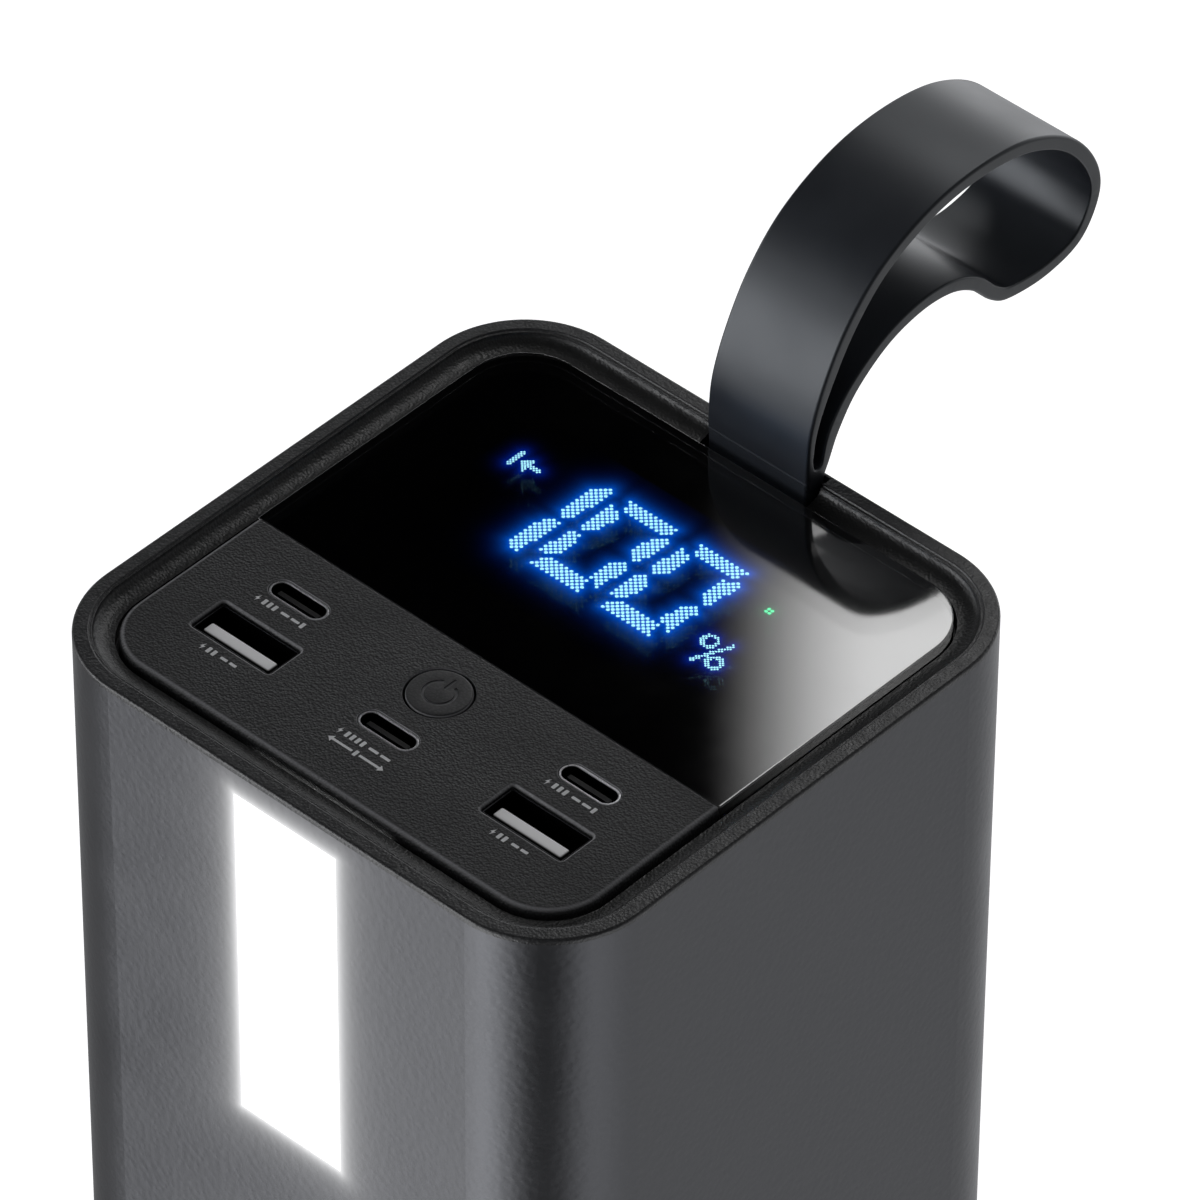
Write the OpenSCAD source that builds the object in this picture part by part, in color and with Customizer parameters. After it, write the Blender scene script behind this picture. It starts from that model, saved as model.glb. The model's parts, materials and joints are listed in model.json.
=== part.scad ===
// Tower power bank: a square aluminium sleeve closed by a plastic rim and a plastic base, five pouch
// cells inside, a lamp in the front wall, and on top a port panel, a display and a carrying strap.
// Millimetres, +Z up. The origin is the centre of the base, in the plane that its pad stands on.
// The lamp faces -Y. Heights that start with a minus sign are measured down from the top of the rim.

/* [Body] */
// Width and depth of the square body
body_w = 88; // [87:0.5:90]
// Height from the table to the top of the rim
body_h = 150; // [148:1:165]
// Radius of the four upright edges
corner_r = 14.6; // [14:0.2:15.4]
// Wall thickness of the aluminium sleeve
sleeve_wall = 1.4; // [1.2:0.1:1.5]

/* [Rim] */
// Width of the flat band round the top
rim_band = 2.0; // [1.6:0.1:2.4]
// Depth of the small step inside the band
rim_step = 0.25; // [0.1:0.05:0.4]
// Depth of the hollow cove below the step
cove_depth = 1.5; // [1:0.1:1.8]

/* [Top panel] */
// Width and depth of the top panel and the lens together
panel_w = 76.4; // [76:0.1:76.8]
// How far the panel lies below the rim
panel_drop = 0.7; // [0.4:0.1:1]
// Radius of the panel's rounded upper edge
panel_edge_r = 0.9; // [0.4:0.1:1.2]
// Where the port panel ends and the lens starts, from the centre line
lens_front_y = -9.3; // [-10:0.1:-8.6]

/* [Ports] */
// Distance of the left and right ports from the centre line
port_x = 24; // [22:0.5:25]
// Distance of the two side USB-C ports in front of the centre line
side_usb_c_y = -16.5; // [-17:0.1:-16]
// Distance of the middle USB-C port in front of the centre line
mid_usb_c_y = -26; // [-27:0.1:-25.5]
// Distance of the two USB-A ports in front of the centre line
usb_a_y = -25.7; // [-26.5:0.1:-25]

/* [Button] */
// Diameter of the power button
button_d = 8.3; // [7.6:0.1:8.6]
// Distance of the button in front of the centre line
button_y = -17.1; // [-17.6:0.1:-16.6]
// Travel of the button
button_travel = 0.5; // [0.3:0.1:0.6]

/* [Display] */
// Height of the figures
figure_h = 16.7; // [14:0.1:17]
// Width of one figure
figure_w = 9.9; // [8.4:0.1:10]
// Slant of the figures, in degrees
figure_slant = 5; // [0:1:7]

/* [Lamp] */
// Width of the lamp window
lamp_w = 16.8; // [14:0.2:18]
// Height of the lamp window
lamp_h = 52.3; // [40:0.5:56]
// Distance from the top of the rim to the lamp window
lamp_top = 4.15; // [4.1:0.05:5]

/* [Strap] */
// Width of the strap
strap_w = 16.6; // [14:0.2:17]

/* [Battery] */
// Thickness of one pouch cell
cell_t = 11.5; // [10:0.1:11.5]
// Width of one pouch cell
cell_w = 67; // [60:0.5:67]
// Height of one pouch cell's body
cell_h = 112; // [100:1:112]

/* [Hidden] */
$fn = 64;

graphite = [0.32, 0.32, 0.34];
charcoal = [0.13, 0.13, 0.14];
slate = [0.20, 0.22, 0.25];
board_green = [0.05, 0.30, 0.16];
steel = [0.75, 0.76, 0.78];

half = body_w/2;
fit = 0.1;          // gap between parts that slide together when they are assembled
bite = 1;           // how far a cut runs past the solid it opens

// Rim, counted inward from the body's outline and down from the top
flange_t = 0.8;
rim_edge_r = 0.35;
skirt_out = sleeve_wall + fit;
skirt_in = skirt_out + 1.5;
skirt_depth = 11;
cove_start = rim_band + 0.45;
cove_end = half - panel_w/2 - 0.6;
shelf_end = cove_end + 4.3;
seat_depth = panel_drop + 3;
shelf_t = 1.8;
shelf_bottom = seat_depth + shelf_t;

// Top panel
panel_r = corner_r - (half - panel_w/2) - 0.4;
lens_t = 1.6;
lens_seat = panel_drop + lens_t;
panel_edge = 4;
lens_gap = 0.1;

// Main board
board_top = 11.5;
board_t = 1.6;
board_bottom = board_top + board_t;
board_x = 38.6;
board_y = [-36.8, 36.5];
board_notch = 29.6;
post_x = 36.6;
post_y = 14;
post_r = 2.6;

// Columns of the inner frame, and the screws at their ends
column_xy = 33.5;
column_r = 2.9;
pad_r = 4.2;
pad_bottom = 7;
head_r = 2.5;
head_h = 1.8;
head_pocket_r = 2.75;
shank_r = 1.25;
clear_r = 1.6;
pilot_r = 1.3;
small_head_r = 1.9;
small_head_h = 1.5;
small_shank_r = 0.95;
small_pilot_r = 1.0;

// Base
pad_w = 80;
pad_corner_r = 11;
pad_proud = 0.8;
pad_t = 1.5;
base_edge_r = 0.6;
sleeve_bottom = 2;
floor_top = 3;
base_skirt_top = 12;
boss_top = 5.2;

// Sockets
usb_c_size = [8.94, 3.26];
usb_c_wall = 0.3;
usb_c_drop = panel_drop + 0.15;
usb_a_size = [13.0, 5.62];
usb_a_wall = 0.25;
usb_a_drop = panel_drop + 0.5;
tongue_a = [11.1, 1.84];
tongue_a_gap = 0.65;
tongue_c = [6.69, 0.7];

// Button and its switch
button_r = button_d/2;
button_hole_r = button_r + 0.25;
button_proud = 0.1;
button_flange_r = 5.2;
switch_top = 8;
plunger_top = 6.6;
plunger_r = 1.77;
plunger_bore_r = 1.85;
plunger_sunk = 1.2;

// Display, in plan
module_box = [[-25, 4.5], [25, 27.5]];
module_top = lens_seat + 0.2;
window_margin = 0.2;
segment_t = 0.8;
figure_bottom = 9.1;
figure_left = -22.1;
figure_pitch = 11.6;
segment_w = 2.15;
segment_gap = 0.9;
segment_cut = 1.1;
corner_gap = 2.1;
status_xy = [17.8, 22.3];

// Lamp, counted inward from the front wall
diffuser_flange = 2.2;
diffuser_plate_t = 1.1;
tray_wall = 0.9;
tray_depth = 4.7;
lamp_board_t = 1;
led_t = 0.8;
led_count = 9;
tray_w = lamp_w + 2*diffuser_flange + 2*tray_wall + 2*fit;
lamp_notch_y = -half + 6.6;

// Strap, in the side view: y, then height above the rim
strap_notch_w = strap_w + 1.2;
strap_notch_y = [38.3, 43.4];
strap_pivot = [41.4, 0.6];
strap_root_r = 1.75;
strap_tail_y = [39.4, 42.2];
strap_tail_top = -1.5;
strap_foot = [-10.3, -8.8];
strap_foot_w = strap_w + 4;
clamp_w = 31;
clamp_z = [-10.8, -5.6];
clamp_y = [37.5, 39.3];
clamp_screw = [12.9, -7.6];
// Outer face of the loop, from the front of its neck, over the top and back along its underside:
// y, height above the rim, and how thick the strap is there
strap_outer = [
    [39.7, 0.6, 1.3], [39.7, 4, 1.2], [40.3, 9, 1.4], [42.6, 15.2, 1.8], [46.6, 22, 2],
    [52.5, 27.8, 2], [61, 31.7, 2], [70, 32.9, 2], [79.5, 31.6, 2], [87.5, 27.4, 2],
    [92.7, 21.2, 2], [94.2, 15, 2], [91, 9, 2], [84.5, 7, 2], [77.2, 7.6, 2], [73.7, 9.5, 2],
    [70.2, 13.1, 2], [66, 15.3, 2], [60.5, 15.8, 2], [54.5, 14.3, 2], [49, 10.6, 2.1],
    [45.7, 6.2, 2.2], [43.9, 2.2, 1.6], [43.1, 0.6, 1.3]
];
strap_steps = 4;

// Battery
cell_gap = 0.8;
cell_pitch = cell_t + cell_gap;
cell_z = boss_top + 2;
seal_h = 2.2;
seal_t = 0.8;
tab_w = 8;
tab_t = 0.3;
tab_x = 14;
bus_z = cell_z + cell_h + 4.8;
frame_wall = 2;
frame_x = 35.6;
frame_reach = 20;
frame_top = cell_z + cell_h + seal_h + 0.6;
wire_r = 1;
connector_box = [[6, 6], [14, 12]];
connector_h = 5;

// ---- Shared shapes -------------------------------------------------------------------------

// Points on an ellipse's arc: centre, the two radii, the angles it runs between
function arc(c, r, from, to, n = 8) =
    [for (i = [0:n]) let (a = from + (to - from)*i/n) [c[0] + r[0]*cos(a), c[1] + r[1]*sin(a)]];

// A smooth curve through all the points of p, open at both ends
function spline(p, steps) = concat(
    [for (i = [0:len(p) - 2], s = [0:steps - 1])
        let (a = p[max(i - 1, 0)], b = p[i], c = p[i + 1], d = p[min(i + 2, len(p) - 1)], t = s/steps)
        0.5*(2*b + t*(c - a) + t*t*(2*a - 5*b + 4*c - d) + t*t*t*(3*b - a - 3*c + d))],
    [p[len(p) - 1]]);

// The points of a curve moved to its right by each point's own third value
function inset(p) = [for (i = [0:len(p) - 1])
    let (a = p[max(i - 1, 0)], b = p[min(i + 1, len(p) - 1)], l = norm([b[0] - a[0], b[1] - a[1]]))
    [p[i][0] + p[i][2]*(b[1] - a[1])/l, p[i][1] - p[i][2]*(b[0] - a[0])/l]];

module rounded_square(w, d, r) {
    square([w - 2*r, d], center = true);
    square([w, d - 2*r], center = true);
    for (x = [-1, 1], y = [-1, 1])
        translate([x*(w/2 - r), y*(d/2 - r)]) circle(r);
}

module stadium(size) {
    square([size[0] - size[1], size[1]], center = true);
    for (x = [-1, 1]) translate([x*(size[0] - size[1])/2, 0]) circle(size[1]/2);
}

// A flat rounded plate between two heights
module plate(w, r, z0, z1) {
    translate([0, 0, z0]) linear_extrude(z1 - z0) rounded_square(w, w, r);
}

module block(low, high) {
    translate(low) cube(high - low);
}

// A round bar between two heights
module bar(x, y, r, z0, z1) {
    translate([x, y, z0]) cylinder(r = r, h = z1 - z0);
}

// A profile carried round a rounded square. The profile's x runs inward from the outline.
module swept_rim(w, r) {
    side = w - 2*r;
    for (turn = [0:3]) rotate(90*turn) {
        translate([w/2, side/2, 0]) rotate([90, 0, 0]) linear_extrude(side) mirror([1, 0]) children();
        translate([w/2 - r, w/2 - r, 0]) rotate_extrude(angle = 90)
            translate([r, 0]) mirror([1, 0]) children();
    }
}

// Everything below is drawn from the top of the rim downward
module from_top() {
    translate([0, 0, body_h]) children();
}

module four_corners(x, y) {
    for (sx = [-1, 1], sy = [-1, 1]) translate([sx*x, sy*y, 0]) children();
}

// A screw along Z with its head at z0 and its thread running up, or down where way is -1
module screw(z0, r_head, h_head, r_shank, length, way) {
    slot_w = r_head*0.35;
    slot_l = r_head*1.2;
    translate([0, 0, z0]) mirror([0, 0, way < 0 ? 1 : 0]) {
        difference() {
            cylinder(r = r_head, h = h_head);
            translate([0, 0, -bite + h_head/2]) for (a = [0, 90]) rotate(a)
                translate([-slot_l/2, -slot_w/2, 0]) cube([slot_l, slot_w, bite]);
        }
        translate([0, 0, h_head]) cylinder(r = r_shank, h = length);
    }
}

// ---- Outer case ----------------------------------------------------------------------------

module outer_sleeve() {
    color(graphite) difference() {
        plate(body_w, corner_r, sleeve_bottom, body_h - flange_t);
        plate(body_w - 2*sleeve_wall, corner_r - sleeve_wall, sleeve_bottom - bite, body_h);
        from_top() block([-lamp_w/2, -half - bite, -lamp_top - lamp_h],
            [lamp_w/2, -half + sleeve_wall + bite, -lamp_top]);
    }
}

function bezel_profile() = concat(
    [[0, -flange_t]],
    arc([rim_edge_r, -rim_edge_r], [rim_edge_r, rim_edge_r], 180, 90, 5),
    [[rim_band, 0], [rim_band + 0.15, -rim_step]],
    arc([cove_end, -rim_step], [cove_end - cove_start, cove_depth], 180, 270, 10),
    [[cove_end, -seat_depth], [shelf_end, -seat_depth], [shelf_end, -shelf_bottom],
     [skirt_in, -shelf_bottom], [skirt_in, -skirt_depth], [skirt_out, -skirt_depth],
     [skirt_out, -flange_t]]);

module top_bezel() {
    wing = [strap_notch_w/2 + 0.2, clamp_w/2];
    color(charcoal) from_top() difference() {
        union() {
            swept_rim(body_w, corner_r) polygon(bezel_profile());
            four_corners(column_xy, column_xy) bar(0, 0, pad_r, -pad_bottom, -seat_depth);
            four_corners(post_x, post_y) bar(0, 0, post_r, -board_top, -seat_depth);
            for (s = [-1, 1]) translate([s*(wing[0] + wing[1])/2, 0, 0])
                block([-(wing[1] - wing[0])/2, clamp_y[1], clamp_z[0]],
                    [(wing[1] - wing[0])/2, half - skirt_out, -seat_depth]);
        }
        // Slot that the strap comes out of, with room for the foot at the end of its tail
        block([-strap_notch_w/2, strap_notch_y[0], -skirt_depth - bite],
            [strap_notch_w/2, strap_notch_y[1], bite]);
        block([-strap_foot_w/2 - fit, strap_notch_y[0], -skirt_depth - bite],
            [strap_foot_w/2 + fit, strap_notch_y[1] - 0.7, strap_foot[1] + fit]);
        // Room for the lamp tray behind the front wall
        block([-tray_w/2 - 0.5, -half, -skirt_depth - bite], [tray_w/2 + 0.5, lamp_notch_y, -2.6]);
        four_corners(column_xy, column_xy) {
            bar(0, 0, head_pocket_r, -seat_depth - 2.1, -seat_depth + bite);
            bar(0, 0, clear_r, -pad_bottom - bite, -seat_depth);
        }
        four_corners(post_x, post_y) bar(0, 0, small_pilot_r, -board_top - bite, -shelf_bottom);
        for (s = [-1, 1]) translate([s*clamp_screw[0], clamp_y[1] - bite, clamp_screw[1]])
            rotate([-90, 0, 0]) cylinder(r = small_pilot_r, h = 3);
    }
}

module bottom_cover() {
    profile = concat(
        [[0, sleeve_bottom]],
        arc([base_edge_r, pad_proud + base_edge_r], [base_edge_r, base_edge_r], 180, 270, 5),
        [[6, pad_proud], [6, floor_top], [skirt_in, floor_top], [skirt_in, base_skirt_top],
         [skirt_out, base_skirt_top], [skirt_out, sleeve_bottom]]);
    color(charcoal) difference() {
        union() {
            swept_rim(body_w, corner_r) polygon(profile);
            plate(body_w - 11, corner_r - 5.5, pad_proud, floor_top);
            four_corners(column_xy, column_xy) bar(0, 0, pad_r, floor_top - bite, boss_top);
        }
        plate(pad_w + 2*fit, pad_corner_r + fit, pad_proud - bite, pad_t);
        four_corners(column_xy, column_xy) {
            bar(0, 0, head_pocket_r, pad_t - bite, pad_t + 2);
            bar(0, 0, clear_r, pad_t, boss_top + bite);
        }
    }
}

// Rubber pad under the whole base, which hides the screws
module base_pad() {
    edge = 0.4;
    border = 5;
    color([0.08, 0.08, 0.08]) {
        swept_rim(pad_w, pad_corner_r)
            polygon([[edge, 0], [border, 0], [border, pad_t], [0, pad_t], [0, edge]]);
        plate(pad_w - 2*border + 1, pad_corner_r - border + 0.5, 0, pad_t);
    }
}

module bottom_screws() {
    color(steel) four_corners(column_xy, column_xy)
        screw(pad_t + 2 - head_h, head_r, head_h, shank_r, 10, 1);
}

// ---- Inner frame ---------------------------------------------------------------------------

// One half of the frame that holds the cells and ties the base to the rim, drawn on the right
module frame_half() {
    column_top = body_h - pad_bottom;
    bore_l = 13;
    window_y = 24;
    window_z = [[20, 62], [70, 112]];
    difference() {
        union() {
            for (s = [-1, 1]) bar(column_xy, s*column_xy, column_r, boss_top, column_top);
            block([frame_x, -column_xy, boss_top], [frame_x + frame_wall, column_xy, frame_top + 2]);
            block([frame_reach, -column_xy + column_r + 0.4, frame_top],
                [frame_x + bite, column_xy - column_r - 0.4, frame_top + 2]);
            block([frame_reach, -column_xy, boss_top], [frame_x + bite, column_xy, cell_z]);
        }
        for (s = [-1, 1]) {
            bar(column_xy, s*column_xy, pilot_r, boss_top - bite, boss_top + bore_l);
            bar(column_xy, s*column_xy, pilot_r, column_top - bore_l, column_top + bite);
        }
        for (z = window_z)
            block([frame_x - bite, -window_y, z[0]], [frame_x + frame_wall + bite, window_y, z[1]]);
    }
}

module chassis_right() {
    color([0.85, 0.85, 0.82]) frame_half();
}

module chassis_left() {
    color([0.85, 0.85, 0.82]) mirror([1, 0, 0]) frame_half();
}

module frame_screws() {
    color(steel) from_top() four_corners(column_xy, column_xy)
        screw(-seat_depth - 0.3, head_r, head_h, shank_r, 11, -1);
}

// ---- Battery -------------------------------------------------------------------------------

module pouch_cell(i) {
    y = (i - 3)*cell_pitch;
    edge_r = 3;
    color([0.62, 0.64, 0.68]) translate([0, y, cell_z]) {
        linear_extrude(cell_h) rounded_square(cell_w, cell_t, edge_r);
        translate([-cell_w/2 + 1, -seal_t/2, cell_h]) cube([cell_w - 2, seal_t, seal_h]);
    }
}

module foam_pads() {
    color([0.1, 0.1, 0.1]) for (i = [0:3])
        translate([-25, (i - 1.5)*cell_pitch - cell_gap/2, cell_z + 12]) cube([50, cell_gap, cell_h - 24]);
}

module cell_tabs() {
    color(steel) for (i = [-2:2], s = [-1, 1])
        translate([s*tab_x - tab_w/2, i*cell_pitch + seal_t/2, cell_z + cell_h])
            cube([tab_w, tab_t, bus_z - cell_z - cell_h]);
}

module bus_strips() {
    reach = 2*cell_pitch + 2;
    color(steel) for (s = [-1, 1])
        translate([s*tab_x - tab_w/2, -reach, bus_z]) cube([tab_w, 2*reach, tab_t]);
}

// A quarter bend of wire in the XZ plane: from pointing up to pointing towards +X
module wire_bend(bend_r) {
    translate([bend_r, 0, 0]) rotate([90, 0, 0]) rotate([0, 0, 90]) rotate_extrude(angle = 90)
        translate([bend_r, 0]) circle(wire_r);
}

module lead_positive() {
    color("red") bar(12, 9, wire_r, bus_z + tab_t, body_h - board_bottom - connector_h);
}

module lead_negative() {
    bend_r = 2.5;
    low = bus_z + tab_t;
    high = body_h - board_bottom - connector_h;
    from = -12;
    to = 8;
    run_z = low + 2 + bend_r;
    color([0.05, 0.05, 0.05]) translate([0, 9, 0]) {
        bar(from, 0, wire_r, low, low + 2);
        translate([from, 0, low + 2]) wire_bend(bend_r);
        translate([from + bend_r, 0, run_z]) rotate([0, 90, 0])
            cylinder(r = wire_r, h = to - from - 2*bend_r);
        translate([to, 0, run_z + bend_r]) rotate([0, 180, 0]) wire_bend(bend_r);
        bar(to, 0, wire_r, run_z + bend_r, high);
    }
}

module protection_board() {
    color(board_green) block([21, -28, frame_top + 2], [34, 28, frame_top + 3.2]);
}

// ---- Main board ----------------------------------------------------------------------------

module main_board() {
    middle = board_notch;
    color(board_green) from_top() translate([0, 0, -board_bottom]) linear_extrude(board_t) difference() {
        union() {
            translate([-board_x, -middle]) square([2*board_x, 2*middle]);
            translate([-middle, board_y[0]]) square([2*middle, board_y[1] - board_y[0]]);
        }
        for (x = [-post_x, post_x], y = [-post_y, post_y]) translate([x, y]) circle(small_pilot_r + 0.15);
    }
}

module board_screws() {
    color(steel) from_top() four_corners(post_x, post_y)
        screw(-board_bottom - small_head_h, small_head_r, small_head_h, small_shank_r, 5, 1);
}

module inductors() {
    size = [12, 12, 5.6];
    color([0.25, 0.25, 0.27]) from_top() for (p = [[-22, -16], [-22, 2], [24, -14]])
        translate([p[0], p[1], -board_bottom - size[2]]) linear_extrude(size[2])
            rounded_square(size[0], size[1], 1.5);
}

module capacitors() {
    color([0.7, 0.7, 0.75]) from_top() for (i = [0:3])
        bar(-9 + 8*i, -22, 3.15, -board_bottom - 5.8, -board_bottom);
}

module controller_chips() {
    chips = [[-8, -6, 7], [6, -6, 7], [-4, 22, 9], [24, 4, 6], [-24, 20, 6]];
    color([0.08, 0.08, 0.09]) {
        from_top() for (c = chips)
            translate([c[0] - c[2]/2, c[1] - c[2]/2, -board_bottom - 1]) cube([c[2], c[2], 1]);
        for (y = [-18, -6, 6, 18]) translate([25, y - 2, frame_top + 3.2]) cube([5, 4, 1]);
    }
}

module battery_connector() {
    latch = [0.6, 1.5];
    color([0.9, 0.88, 0.8]) from_top() translate([0, 0, -board_bottom - connector_h]) difference() {
        block([connector_box[0][0], connector_box[0][1], 0],
            [connector_box[1][0], connector_box[1][1], connector_h]);
        block([connector_box[0][0] - bite, connector_box[0][1] - bite, connector_h/2],
            [connector_box[0][0] + latch[0], connector_box[1][1] + bite, connector_h/2 + latch[1]]);
    }
}

// ---- Top panel -----------------------------------------------------------------------------

// Every opening of the top panel
module panel_openings() {
    clear = 0.2;
    depth = seat_depth + bite;
    for (s = [-1, 1]) {
        translate([s*port_x, usb_a_y, -depth]) linear_extrude(depth)
            square([usb_a_size[0] + clear, usb_a_size[1] + clear], center = true);
        translate([s*port_x, side_usb_c_y, -depth]) linear_extrude(depth)
            stadium([usb_c_size[0] + clear, usb_c_size[1] + clear]);
    }
    translate([0, mid_usb_c_y, -depth]) linear_extrude(depth)
        stadium([usb_c_size[0] + clear, usb_c_size[1] + clear]);
    bar(0, button_y, button_hole_r, -depth, bite);
    block([module_box[0][0] - window_margin, module_box[0][1] - window_margin, -depth],
        [module_box[1][0] + window_margin, module_box[1][1] + window_margin, bite]);
}

// A profile carried along the panel's front edge, round its front corners and back to the lens
module swept_front(w, r) {
    side = lens_front_y + w/2 - r;
    for (flip = [0, 1]) mirror([flip, 0, 0]) {
        translate([w/2, lens_front_y, 0]) rotate([90, 0, 0]) linear_extrude(side)
            mirror([1, 0]) children();
        translate([w/2 - r, r - w/2, 0]) rotate(-90) rotate_extrude(angle = 90)
            translate([r, 0]) mirror([1, 0]) children();
        translate([0, -w/2, 0]) rotate([90, 0, 90]) linear_extrude(w/2 - r) children();
    }
}

module top_plate() {
    edge = concat(
        [[0, -seat_depth], [0, -panel_drop - panel_edge_r]],
        arc([panel_edge_r, -panel_drop - panel_edge_r], [panel_edge_r, panel_edge_r], 180, 90, 8),
        [[panel_edge, -panel_drop], [panel_edge, -seat_depth]]);
    inner_w = panel_w - 2*panel_edge + 1;
    color(charcoal) from_top() difference() {
        union() {
            swept_front(panel_w, panel_r) polygon(edge);
            translate([0, 0, -seat_depth]) linear_extrude(seat_depth - panel_drop) intersection() {
                rounded_square(inner_w, inner_w, panel_r - panel_edge + 0.5);
                translate([-half, lens_front_y - half]) square([body_w, half]);
            }
            translate([0, 0, -seat_depth]) linear_extrude(seat_depth - lens_seat) intersection() {
                rounded_square(panel_w, panel_w, panel_r);
                translate([-half, lens_front_y]) square([body_w, body_w]);
            }
        }
        panel_openings();
    }
}

module display_lens() {
    color([0.02, 0.02, 0.03]) from_top() intersection() {
        plate(panel_w, panel_r, -lens_seat, -panel_drop);
        block([-half, lens_front_y + lens_gap, -lens_seat], [half, half, 0]);
    }
}

// The lower left upright bar of a figure, from its low end to just under the figure's middle
module upright_bar(low) {
    high = (figure_h - segment_gap)/2;
    polygon([[0, low], [0, high - segment_cut], [segment_w/6, high], [segment_w/2, high],
        [segment_w, high - 1.3*segment_cut], [segment_w, low + segment_cut]]);
}

// The bottom bar of a figure, wider at its outer edge
module level_bar() {
    inset = corner_gap - segment_cut;
    polygon([[inset, 0], [figure_w - inset, 0], [figure_w - 1.7*inset, segment_w], [1.7*inset, segment_w]]);
}

// The lit bars of one figure: its outline with no middle bar, or its right-hand side alone
module figure_outline(only_right) {
    for (top = [0, 1]) translate([0, top*figure_h]) mirror([0, top]) {
        translate([figure_w, 0]) mirror([1, 0]) upright_bar(only_right ? 0 : corner_gap);
        if (!only_right) {
            upright_bar(corner_gap);
            level_bar();
        }
    }
}

module figures_plan() {
    for (i = [0:2]) translate([figure_left + i*figure_pitch, figure_bottom])
        multmatrix([[1, tan(figure_slant), 0, 0], [0, 1, 0, 0], [0, 0, 1, 0], [0, 0, 0, 1]])
            figure_outline(i == 0);
}

// A percent sign, and an arrow into a box for charging
module marks_plan() {
    for (p = [[16.2, 13.4], [19.2, 10.8]]) translate(p) difference() {
        circle(1.3);
        circle(0.7);
    }
    translate([17.8, 12]) rotate(66) square([6, 0.6], center = true);
    translate([-22, 22]) {
        translate([-1.9, 0]) square([0.7, 3.2], center = true);
        translate([0.8, 0]) square([2.8, 0.7], center = true);
        polygon([[-1.1, 0], [0.3, 1.3], [0.3, -1.3]]);
    }
}

module status_plan() {
    translate(status_xy) circle(0.9);
}

module display_module() {
    color([0.06, 0.06, 0.07]) from_top() difference() {
        block([module_box[0][0], module_box[0][1], -board_top],
            [module_box[1][0], module_box[1][1], -module_top]);
        translate([0, 0, -module_top - segment_t]) linear_extrude(segment_t + bite) {
            figures_plan();
            marks_plan();
            status_plan();
        }
    }
}

module lit_figures() {
    color([0.6, 0.95, 1]) from_top() translate([0, 0, -module_top - segment_t])
        linear_extrude(segment_t) figures_plan();
}

module lit_marks() {
    color([0.6, 0.95, 1]) from_top() translate([0, 0, -module_top - segment_t])
        linear_extrude(segment_t) marks_plan();
}

module status_light() {
    color([0.2, 0.9, 0.5]) from_top() translate([0, 0, -module_top - segment_t])
        linear_extrude(segment_t) status_plan();
}

// ---- Button --------------------------------------------------------------------------------

module power_button() {
    top = -panel_drop + button_proud;
    edge = 0.3;
    ring_r = 2.1;
    line = 0.4;
    mark_depth = 0.25;
    flange_top = -seat_depth - 0.1;
    color(charcoal) from_top() translate([0, button_y, 0]) difference() {
        union() {
            translate([0, 0, top - edge]) cylinder(r1 = button_r, r2 = button_r - edge, h = edge);
            bar(0, 0, button_r, flange_top - 1, top - edge);
            bar(0, 0, button_flange_r, flange_top - 1, flange_top);
            bar(0, 0, plunger_r, -plunger_top, flange_top - 1);
        }
        // Power mark: a ring open at the top and an upright bar
        translate([0, 0, top - mark_depth]) {
            rotate(120) rotate_extrude(angle = 300)
                translate([ring_r - line/2, 0]) square([line, mark_depth + bite]);
            translate([-line/2, ring_r - 1.1, 0]) cube([line, 2.1, mark_depth + bite]);
        }
    }
}

module switch_plunger() {
    color([0.9, 0.9, 0.9]) from_top()
        bar(0, button_y, plunger_r, -switch_top - plunger_sunk, -plunger_top);
}

module tact_switch() {
    side = 6;
    color([0.12, 0.12, 0.12]) from_top() translate([0, button_y, 0]) difference() {
        block([-side/2, -side/2, -board_top], [side/2, side/2, -switch_top]);
        bar(0, 0, plunger_bore_r, -switch_top - plunger_sunk - button_travel - 0.4, -switch_top + bite);
    }
}

// ---- Sockets -------------------------------------------------------------------------------

module usb_c_shell(x, y) {
    color(steel) from_top() translate([x, y, -board_top]) difference() {
        linear_extrude(board_top - usb_c_drop) stadium(usb_c_size);
        translate([0, 0, -bite]) linear_extrude(board_top + bite)
            stadium([usb_c_size[0] - 2*usb_c_wall, usb_c_size[1] - 2*usb_c_wall]);
    }
}

module usb_c_tongue(x, y) {
    base_h = 3.5;
    tip = usb_c_drop + 0.7;
    color([0.1, 0.1, 0.1]) from_top() translate([x, y, -board_top]) {
        linear_extrude(base_h) stadium([usb_c_size[0] - 2*usb_c_wall, usb_c_size[1] - 2*usb_c_wall]);
        translate([-tongue_c[0]/2, -tongue_c[1]/2, 0]) cube([tongue_c[0], tongue_c[1], board_top - tip]);
    }
}

module usb_a_shell(x) {
    inside = [usb_a_size[0] - 2*usb_a_wall, usb_a_size[1] - 2*usb_a_wall];
    color(steel) from_top() translate([x, usb_a_y, -board_top]) difference() {
        translate([-usb_a_size[0]/2, -usb_a_size[1]/2, 0])
            cube([usb_a_size[0], usb_a_size[1], board_top - usb_a_drop]);
        translate([-inside[0]/2, -inside[1]/2, -bite]) cube([inside[0], inside[1], board_top + bite]);
    }
}

function tongue_a_low() = -usb_a_size[1]/2 + usb_a_wall + tongue_a_gap;

module usb_a_tongue(x) {
    inside = [usb_a_size[0] - 2*usb_a_wall, usb_a_size[1] - 2*usb_a_wall];
    base_h = 1.5;
    tip = usb_a_drop + 0.4;
    color([0.85, 0.85, 0.85]) from_top() translate([x, usb_a_y, -board_top]) {
        translate([-inside[0]/2, -inside[1]/2, 0]) cube([inside[0], inside[1], base_h]);
        translate([-tongue_a[0]/2, tongue_a_low(), 0]) cube([tongue_a[0], tongue_a[1], board_top - tip]);
    }
}

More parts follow.
